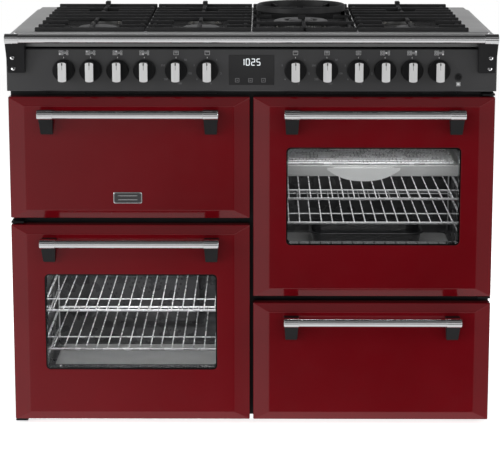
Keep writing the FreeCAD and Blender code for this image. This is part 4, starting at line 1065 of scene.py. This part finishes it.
def pan_supports():
    forms = []
    for index, (low, high) in enumerate(WELL_X):
        wok = index == 2
        centres = (27,) if wok else (-113, 157)
        forms.append(support(low + 1.5, high - 1.5, centres, 74 if wok else 24))
    piece("grates", gather(*forms), "root", CAST_IRON, ("pan_supports",))


def wok_ring():
    low, high = corners("wok_ring")
    middle = (low + high) / 2
    radius = (high.x - low.x) / 2
    top = high.z
    section = (
        (radius - 12, top - 14.5), (radius - 1, top - 14.8), (radius, top - 13.5),
        (radius, top - 4.5), (radius - 1, top - 2), (radius - 3.5, top - 0.3),
        (radius - 6, top), (radius - 9, top - 0.5), (radius - 11.5, top - 3),
        (radius - 12, top - 6),
    )
    hoop = turned(section, 96, closed=True)
    parts = bmesh.new()
    verts = bar(parts, (radius - 26, -4.5, top - 13), (radius - 8, 4.5, top - 4))
    for vert in verts:
        if vert.co.x < radius - 20 and vert.co.z > top - 8:
            vert.co.z -= 4
    moved(parts, Matrix.Rotation(math.radians(45), 4, "Z"))
    verts = bar(parts, (radius - 10.5, -8.5, low.z), (radius - 1.5, 8.5, top - 9))
    bmesh.ops.spin(
        parts, geom=parts.verts[:] + parts.edges[:] + parts.faces[:], cent=(0, 0, 0), axis=(0, 0, 1),
        angle=math.tau, steps=4, use_duplicate=True,
    )
    bmesh.ops.remove_doubles(parts, verts=parts.verts, dist=MERGE / 10)
    soften(parts, 1.6, 2)
    place = Matrix.Translation((middle.x, middle.y, 0))
    piece("wok_stand", moved(gather(hoop, parts), place), "wok_ring", CAST_IRON, ("wok_ring",))


def hob():
    hob_tray()
    burners()
    pan_supports()
    wok_ring()


# ---------------------------------------------------------------- ovens

CAVITIES = (("left_oven_liner", "left"), ("main_oven_liner", "main"), ("grill_liner", "grill"))
RACKS = (
    ("left_oven_liner", 254), ("left_oven_liner", 160),
    ("main_oven_liner", 521), ("main_oven_liner", 464),
)
RUNGS = {
    "left_oven_liner": (106, 154.7, 207, 248.7, 300, 350),
    "main_oven_liner": (410, 458.7, 515.7, 568, 625),
    "grill_liner": (600, 660),
}
RACK_Y = (-193, 195)


def tube(points, radius, cyclic=False):
    """A round wire through points."""
    curve = bpy.data.curves.new("wire", "CURVE")
    curve.dimensions = "3D"
    curve.bevel_depth = radius
    curve.bevel_resolution = 2
    curve.use_fill_caps = True
    spline = curve.splines.new("POLY")
    spline.points.add(len(points) - 1)
    for point, place in zip(spline.points, points):
        point.co = (*place, 1)
    spline.use_cyclic_u = cyclic
    bm = curve_form(curve)
    bmesh.ops.remove_doubles(bm, verts=bm.verts, dist=MERGE / 10)
    return bm


def round_path(low, high, level, radius, steps=5):
    """Points round a rectangle with rounded corners."""
    bm = bmesh.new()
    points = [vert.co.copy() for vert in ring(bm, low, high, level, radius, steps)]
    bm.free()
    return points


def oven_lining(node, name):
    """An enamelled oven box with rounded corners, open to the front."""
    low, high, back, front = flat_box(node)
    outer = (low, high, back, 12)
    wall = inset(outer, GAUGE, GAUGE, back + GAUGE, 11)
    layers = (
        *drawn(wall, (
            (9, 9, back + GAUGE, 6), (3, 3, back + GAUGE + 2.5, 9), (0, 0, back + GAUGE + 9, 11),
            (0, 0, front, 11),
        )),
        inset(outer, 0, 0, front, 12),
        outer,
    )
    piece(name + "_lining", standing(layers, 5), "root", OVEN_ENAMEL, (node,))


def floor_plate(node, name):
    """The loose bright plate on the floor of an oven."""
    low, high = flat_box(node)[:2]
    level = low[1] + GAUGE + 0.4
    sheet = rectangle((low[0] + 12, high[0] - 12), (-212, 228), level, 14)
    layers = (
        sheet,
        (sheet[0], sheet[1], level + 1.2, 14),
        *drawn(sheet, (
            (3, 3, level + 3.4, 12), (7, 7, level + 3.6, 9), (11, 11, level + 1.6, 7),
        )),
    )
    piece(name + "_floor_plate", stacked(layers, 5), "root", PAN_STEEL)


def wire_rack(node, height):
    """A plated rack: a round frame, close wires front to back and two stiffeners."""
    low, high = corners(node)
    left, right = low.x + 9.2, high.x - 9.2
    level = height
    front, back = RACK_Y
    bm = tube(round_path((left, front), (right, back), level, 9), 2.9, cyclic=True)
    for y in (front + 112, back - 30):
        rod(bm, (left, y, level - 1.6), (right, y, level - 1.6), 1.4, 8)
    count = 16
    for index in range(count):
        x = left + (index + 1) * (right - left) / (count + 1)
        rod(bm, (x, front, level + 0.8), (x, back, level + 0.8), 1.5, 8)
    return bm


def side_ladders(node):
    low, high = corners(node)
    heights = [height for height in RUNGS[node]]
    front, back = RACK_Y[0] - 8, RACK_Y[1] + 8
    forms = []
    for x in (low.x + GAUGE + 6, high.x - GAUGE - 6):
        bm = bmesh.new()
        for y in (front, back):
            rod(bm, (x, y, min(heights) - 30), (x, y, max(heights) + 25), 1.95, 10)
        for height in heights:
            rod(bm, (x, front, height), (x, back, height), 1.95, 10)
        forms.append(bm)
    return gather(*forms)


def grill_pan():
    """A shallow tray with a close wire mesh on it and a bright handle plate with a bowed edge."""
    low, high = corners("grill_pan")
    base, rim = 570.2, high.z
    pan = ((low.x + 0.6, -180), (high.x - 0.6, 180), base, 14)
    layers = (
        *drawn(pan, (
            (9, 9, base, 8), (2, 2, base + 1.6, 12), (0, 0, base + 6, 14), (0, 0, rim - 0.4, 14),
            (0.4, 0.4, rim, 13.6), (6, 6, rim, 10), (6.6, 6.6, rim - 0.8, 9.6),
            (8, 8, base + 8, 8), (14, 14, base + 2, 6),
        )),
    )
    piece("grill_tray", stacked(layers, 5), "root", PAN_STEEL, ("grill_pan",))
    left, right, level = low.x + 20, high.x - 26, rim + 1.6
    mesh = tube(round_path((left, -168), (right, 168), level, 12), 2.4, True)
    lanes = 44
    for index in range(lanes):
        x = left + (index + 1) * (right - left) / (lanes + 1)
        rod(mesh, (x, -168, level), (x, 168, level), 1.1, 6)
    for index in range(12):
        y = (-168 + (index + 1) * 336 / 13)
        rod(mesh, (left, y, level - 2), (right, y, level - 2), 1.3, 6)
    piece("grill_mesh", mesh, "root", WIRE)

    middle = (low.x + high.x) / 2 - 18
    half = 84
    plate = bmesh.new()
    bmesh.ops.create_grid(plate, x_segments=28, y_segments=1, size=1)
    for vert in plate.verts:
        across, upper = vert.co.x, vert.co.y > 0
        bow = 0.16 + 0.84 * (1 - abs(across) ** 2.4)
        vert.co = Vector((middle + across * half, -194.2, 594 if upper else (594 - 31.5 * bow)))
    plate.normal_update()
    bmesh.ops.solidify(plate, geom=plate.faces[:], thickness=1.6)
    bmesh.ops.recalc_face_normals(plate, faces=plate.faces)
    soften(plate, 0.5, 2, 50)
    bar(plate, (middle - 70, -194, 590.5), (middle + 70, -178, 592.5))
    piece("grill_tray_handle", plate, "root", HANDLE_PLATE)


def roasting_dish():
    low, high = corners("roasting_dish")
    dish = ((low.x, low.y), (high.x, high.y), low.z, 34)
    layers = (
        *drawn(dish, (
            (26, 22, low.z, 24), (18, 15, low.z + 2, 28), (12, 10, low.z + 12, 32),
            (7, 6, high.z - 4, 34), (0, 0, high.z - 3, 38), (0, 0, high.z - 0.6, 38),
            (1.2, 1.2, high.z, 38), (8.5, 7.5, high.z - 1.5, 34), (14, 12, low.z + 12, 31),
            (20, 17, low.z + 4, 26), (28, 24, low.z + 2.2, 22),
        )),
    )
    piece("oval_dish", stacked(layers, 8), "root", DISH_ENAMEL, ("roasting_dish",))


def fan_cover():
    """The cover in front of the fan, with dark discs on it as painted shade of its holes, and the motor
    behind the oven.
    """
    low, high = corners("fan_housing")
    middle_x, middle_z = (low.x + high.x) / 2, (low.z + high.z) / 2
    front = -low.y
    plate = ((low.x, low.z), (high.x, high.z), front - 1.2, 18)
    layers = (
        plate,
        inset(plate, 0, 0, front - 0.5, 18),
        inset(plate, 1, 1, front, 18),
    )
    piece("fan_cover", standing(layers, 6), "root", OVEN_ENAMEL, ("fan_housing",))
    # Dark discs where the holes would be: painted shade, as the cover is not cut through.
    holes = []
    for reach, count in ((14, 6), (26, 12), (38, 18), (50, 24), (88, 40), (97, 44)):
        for index in range(count):
            turn = math.tau * index / count
            spot = (middle_x + reach * math.cos(turn), middle_z + reach * math.sin(turn), 0)
            disc = turned(((0, front - 0.4), (3, front - 0.4), (3, front + 0.02), (0, front + 0.02)), 8)
            holes.append(moved(disc, Matrix.Translation(spot)))
    piece("fan_cover_hole_shade", moved(gather(*holes), FACING), "root", RUBBER_AND_PAINTED_SHADE)
    motor = turned((
        (0, -243.4), (38, -243.4), (38, -284), (35, -288),
        (16, -288), (14, -297.5), (0, -298),
    ), 40)
    place = FACING @ Matrix.Translation((middle_x, middle_z, 0))
    piece("fan_motor", moved(motor, place), "root", ZINC)


BEAM_WIDTH = 0.38


def oven_lamps():
    """A round glass lens on each oven's back wall, and the light of the lamp behind it."""
    for node, x in (("left_oven_liner", -130), ("main_oven_liner", 430)):
        low, high = corners(node)
        back = -(high.y - GAUGE)
        lens = turned((
            (0, back + 9), (15, back + 7.5), (21, back + 4),
            (23, back + 0.5), (23, back), (0, back),
        ), 36)
        place = FACING @ Matrix.Translation((x, high.z - 62, 0))
        piece(f"{node}_lens", moved(lens, place), "root", LAMP_GLASS)
    beams = (
        ("left_oven_beam", "left_oven_liner", (-0.212, 0.425), 0.03, 52, 2.2),
        ("main_upper_beam", "main_oven_liner", (-0.212, 0.690), 0.03, 52, 0.34),
        ("main_lower_beam", "main_oven_liner", (0.0, 0.566), 0.34, 0, 0.42),
        ("main_floor_beam", "main_oven_liner", (-0.05, 0.484), 0.3, 0, 0.12),
    )
    for name, node, (y, z), depth, tilt, power in beams:
        low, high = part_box(node)
        lamp = area_light(name, ((low.x + high.x) / 2, y, z), (BEAM_WIDTH, depth), power)
        lamp.rotation_euler = (math.radians(tilt), 0, 0)


def ovens():
    for node, name in CAVITIES:
        oven_lining(node, name)
    floor_plate("left_oven_liner", "left")
    floor_plate("main_oven_liner", "main")
    racks = gather(*(wire_rack(*rack) for rack in RACKS))
    piece("rack_set", racks, "root", WIRE, ("oven_racks",))
    ladders = gather(*(side_ladders(node) for node in RUNGS))
    piece("ladder_set", ladders, "root", WIRE, ("rack_ladders",))
    grill_pan()
    roasting_dish()
    fan_cover()
    oven_lamps()


# ---------------------------------------------------------------- case, back and underside

def levelling_feet():
    low, high = corners("levelling_feet")
    forms = []
    nuts = []
    for x in (low.x + 19, high.x - 19):
        for y in (low.y + 19, high.y - 19):
            place = Matrix.Translation((x, y, 0))
            foot = turned((
                (0, 0), (17.5, 0), (19, 0.8), (19, 2.6), (17.8, 3.8),
                (13, 6), (9, 7.2), (0, 7.2),
            ), 40)
            forms.append(moved(foot, place))
            stud = bmesh.new()
            rod(stud, (0, 0, 6), (0, 0, 26), 4.9, 20)
            nut = turned(((5, 7.4), (9, 7.4), (9, 11.6), (5, 11.6)), 6, closed=True)
            nuts += [moved(stud, place), moved(nut, place)]
    piece("feet", gather(*forms), "root", BLACK_PLASTIC, ("levelling_feet",))
    piece("foot_studs", gather(*nuts), "root", ZINC)


def back_panel():
    """A zinc back with pressed ribs, louvres, screws, the cable box and its gland."""
    low, high = corners("back_panel")
    skin = -311
    sheet = ((low.x, low.z), (high.x, high.z), skin, 3)
    layers = [sheet, inset(sheet, 0, 0, skin - GAUGE, 3)]
    forms = [standing(layers, 3)]
    for x in (-330, -110, 110, 330):
        rib = ((x - 9, 60), (x + 9, 560), skin - GAUGE + 0.2, 8.5)
        forms.append(moved(stacked([rib, inset(rib, 1.5, 1.5, skin - GAUGE - 3, 7),
                                    inset(rib, 4, 4, skin - GAUGE - 4, 4.5)], 5), FACING))
    louvres = [(x, 640 + row * 24) for row in range(6) for x in (-300, -100, 100, 300)]
    for x, z in louvres:
        slat = bmesh.new()
        bar(slat, (x - 62, 312, z - 4), (x + 62, 316.5, z + 5))
        for vert in slat.verts:
            if vert.co.y > 314 and vert.co.z > z:
                vert.co.y -= 4.2
        forms.append(soften(slat, 1, 2))
    ledge = bmesh.new()
    bar(ledge, (low.x, 308, high.z - 1.2), (high.x, 312, high.z))
    forms.append(ledge)
    piece("back_sheet", gather(*forms), "root", ZINC, ("back_panel",))
    # Dark bars under the louvres: painted shade in their mouths, since the sheet behind is not cut.
    slots = bmesh.new()
    for x, z in louvres:
        bar(slots, (x - 58, 312.1, z - 5.4), (x + 58, 315.5, z - 4))
    piece("louvre_mouth_shade", slots, "root", RUBBER_AND_PAINTED_SHADE)

    cover = ((-520, 600), (-430, 690), -312.2, 5)
    layers = (
        cover,
        *drawn(cover, (
            (0, 0, -323, 5), (1, 1, -325.2, 5), (3.5, 3.5, -326, 5),
        )),
    )
    piece("cable_box", standing(layers, 5), "root", BLACK_PLASTIC)
    gland = turned((
        (7, -326.9), (11, -326.9), (12.5, -326), (12.5, -325), (7, -325),
    ), 32, closed=True)
    # A dark disc in the gland: painted shade of its open mouth.
    hollow = turned(((0, -326.2), (7.1, -326.2), (7.1, -325), (0, -325)), 32)
    place = FACING @ Matrix.Translation((-475, 622, 0))
    piece("cable_gland", moved(gland, place), "root", BLACK_PLASTIC)
    piece("cable_gland_mouth_shade", moved(hollow, place), "root", RUBBER_AND_PAINTED_SHADE)

    heads = []
    slots = []
    spots = [(x, z) for x in (-530, -220, 0, 220, 530) for z in (26, 470, 890)]
    spots += [(x, z) for x in (-513, -437) for z in (607, 683)]
    for x, z in spots:
        back_turn = Matrix.Rotation(math.radians(180), 4, "Z")
        surface = 326 if 430 <= abs(x) <= 515 and 600 < z < 690 and x < 0 else 312.2
        place = Matrix.Translation((x, surface, z)) @ back_turn @ FACING
        dome, slot = screw_head(4.2, 0.9 if surface == 326 else 2, place)
        heads.append(dome)
        slots.append(slot)
    piece("back_screws", gather(*heads), "root", ZINC)
    # Dark bars across the back screw heads: painted shade of their cross recesses.
    piece("back_screw_recess_shade", gather(*slots), "root", RUBBER_AND_PAINTED_SHADE)

    thread = []
    pitch, turns = 1.42, 9
    for index in range(turns):
        start = -313 - index * pitch
        profile = ((9.6, start), (10.4, start - 0.5), (10.4, start - 0.9), (9.6, start - 1.41))
        thread.append(turned(profile, 36, closed=True))
    place = FACING @ Matrix.Translation((505, 831, 0))
    piece("inlet_thread", moved(gather(*thread), place), "root", BRASS)


def vent_shade_sheet():
    """A dark sheet behind the cooling slots under the fascia: painted shade of the space behind them."""
    low, high = corners("front_frame")
    bm = bmesh.new()
    bar(bm, (low.x + 14, high.y + 1, high.z - 34), (high.x - 14, high.y + 2.4, high.z - 1))
    piece("vent_shade_sheet", soften(bm, 0.4, 1), "root", RUBBER_AND_PAINTED_SHADE)


def side_panels():
    """Two enamelled sheets with folded edges, drawn in metres."""
    low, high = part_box("side_panels")
    gauge = GAUGE * MM
    forms = []
    for side in (-1, 1):
        bm = bmesh.new()
        x = side * high.x
        inner, fold, gap = x - side * gauge, x - side * 2.6 * MM, x - side * 0.2 * MM
        bar(bm, (min(x, inner), low.y, low.z), (max(x, inner), high.y, high.z))
        for z in (low.z + 1 * MM, high.z - 15 * MM):
            bar(bm, (min(x, fold), low.y + 2 * MM, z), (max(gap, fold), high.y - 2 * MM, z + 14 * MM))
        forms.append(soften(bm, 0.5 * MM, 2))
    sheets = gather(*forms)
    piece("side_sheets", sheets, "root", BLACK_ENAMEL, ("side_panels",), scale=1)


def badge():
    """A plain plate in a bright frame on the grill door."""
    low = (-313.5, 526)
    high = (-248.5, 552)
    rim = (low, high, FACE, 4)
    layers = (
        rim,
        *drawn(rim, (
            (0, 0, FACE + 1.2, 4), (0.6, 0.6, FACE + 1.7, 3.8), (2, 2, FACE + 1.7, 3),
            (2.5, 2.5, FACE + 1.1, 2.6), (2.5, 2.5, FACE, 2.6),
        )),
    )
    piece("badge_frame", standing(layers, 5, loop=True), "grill_door", CHROME)
    field = inset(rim, 2.4, 2.4, FACE, 2.6)
    layers = (field, inset(field, 0, 0, FACE + 1.15, 2.6))
    piece("badge_field", standing(layers, 5), "grill_door", ANTHRACITE)
    lines = bmesh.new()
    for up in (-4.6, 4.6):
        flat_bar(lines, (-303, 539 + up - 0.35), (-259, 539 + up + 0.35), FACE + 1.17)
    piece("badge_lines", moved(lines, FACING), "grill_door", PRINT)


def case():
    levelling_feet()
    back_panel()
    side_panels()
    vent_shade_sheet()
    badge()


# ---------------------------------------------------------------- CAD nodes that keep their shape

KEPT = {
    BLACK_ENAMEL: ("front_frame",),
    ZINC: ("base_frame", "drawer_box"),
    GEAR: ("control_gear", "oven_fan") + tuple(f"tap_spindle_{index}" for index in range(1, 8)),
    ELEMENT: ("heating_elements",),
    BLACK_PLASTIC: ("hinge_brackets",),
}


def keep_nodes():
    for finish_used, names in KEPT.items():
        for name in names:
            mesh = frame["nodes"][name].data
            mesh.materials.clear()
            mesh.materials.append(finish_used)


studio()
doors()
handles()
knobs()
fascia()
clock()
fascia_print()
push_button()
hob()
ovens()
case()
keep_nodes()
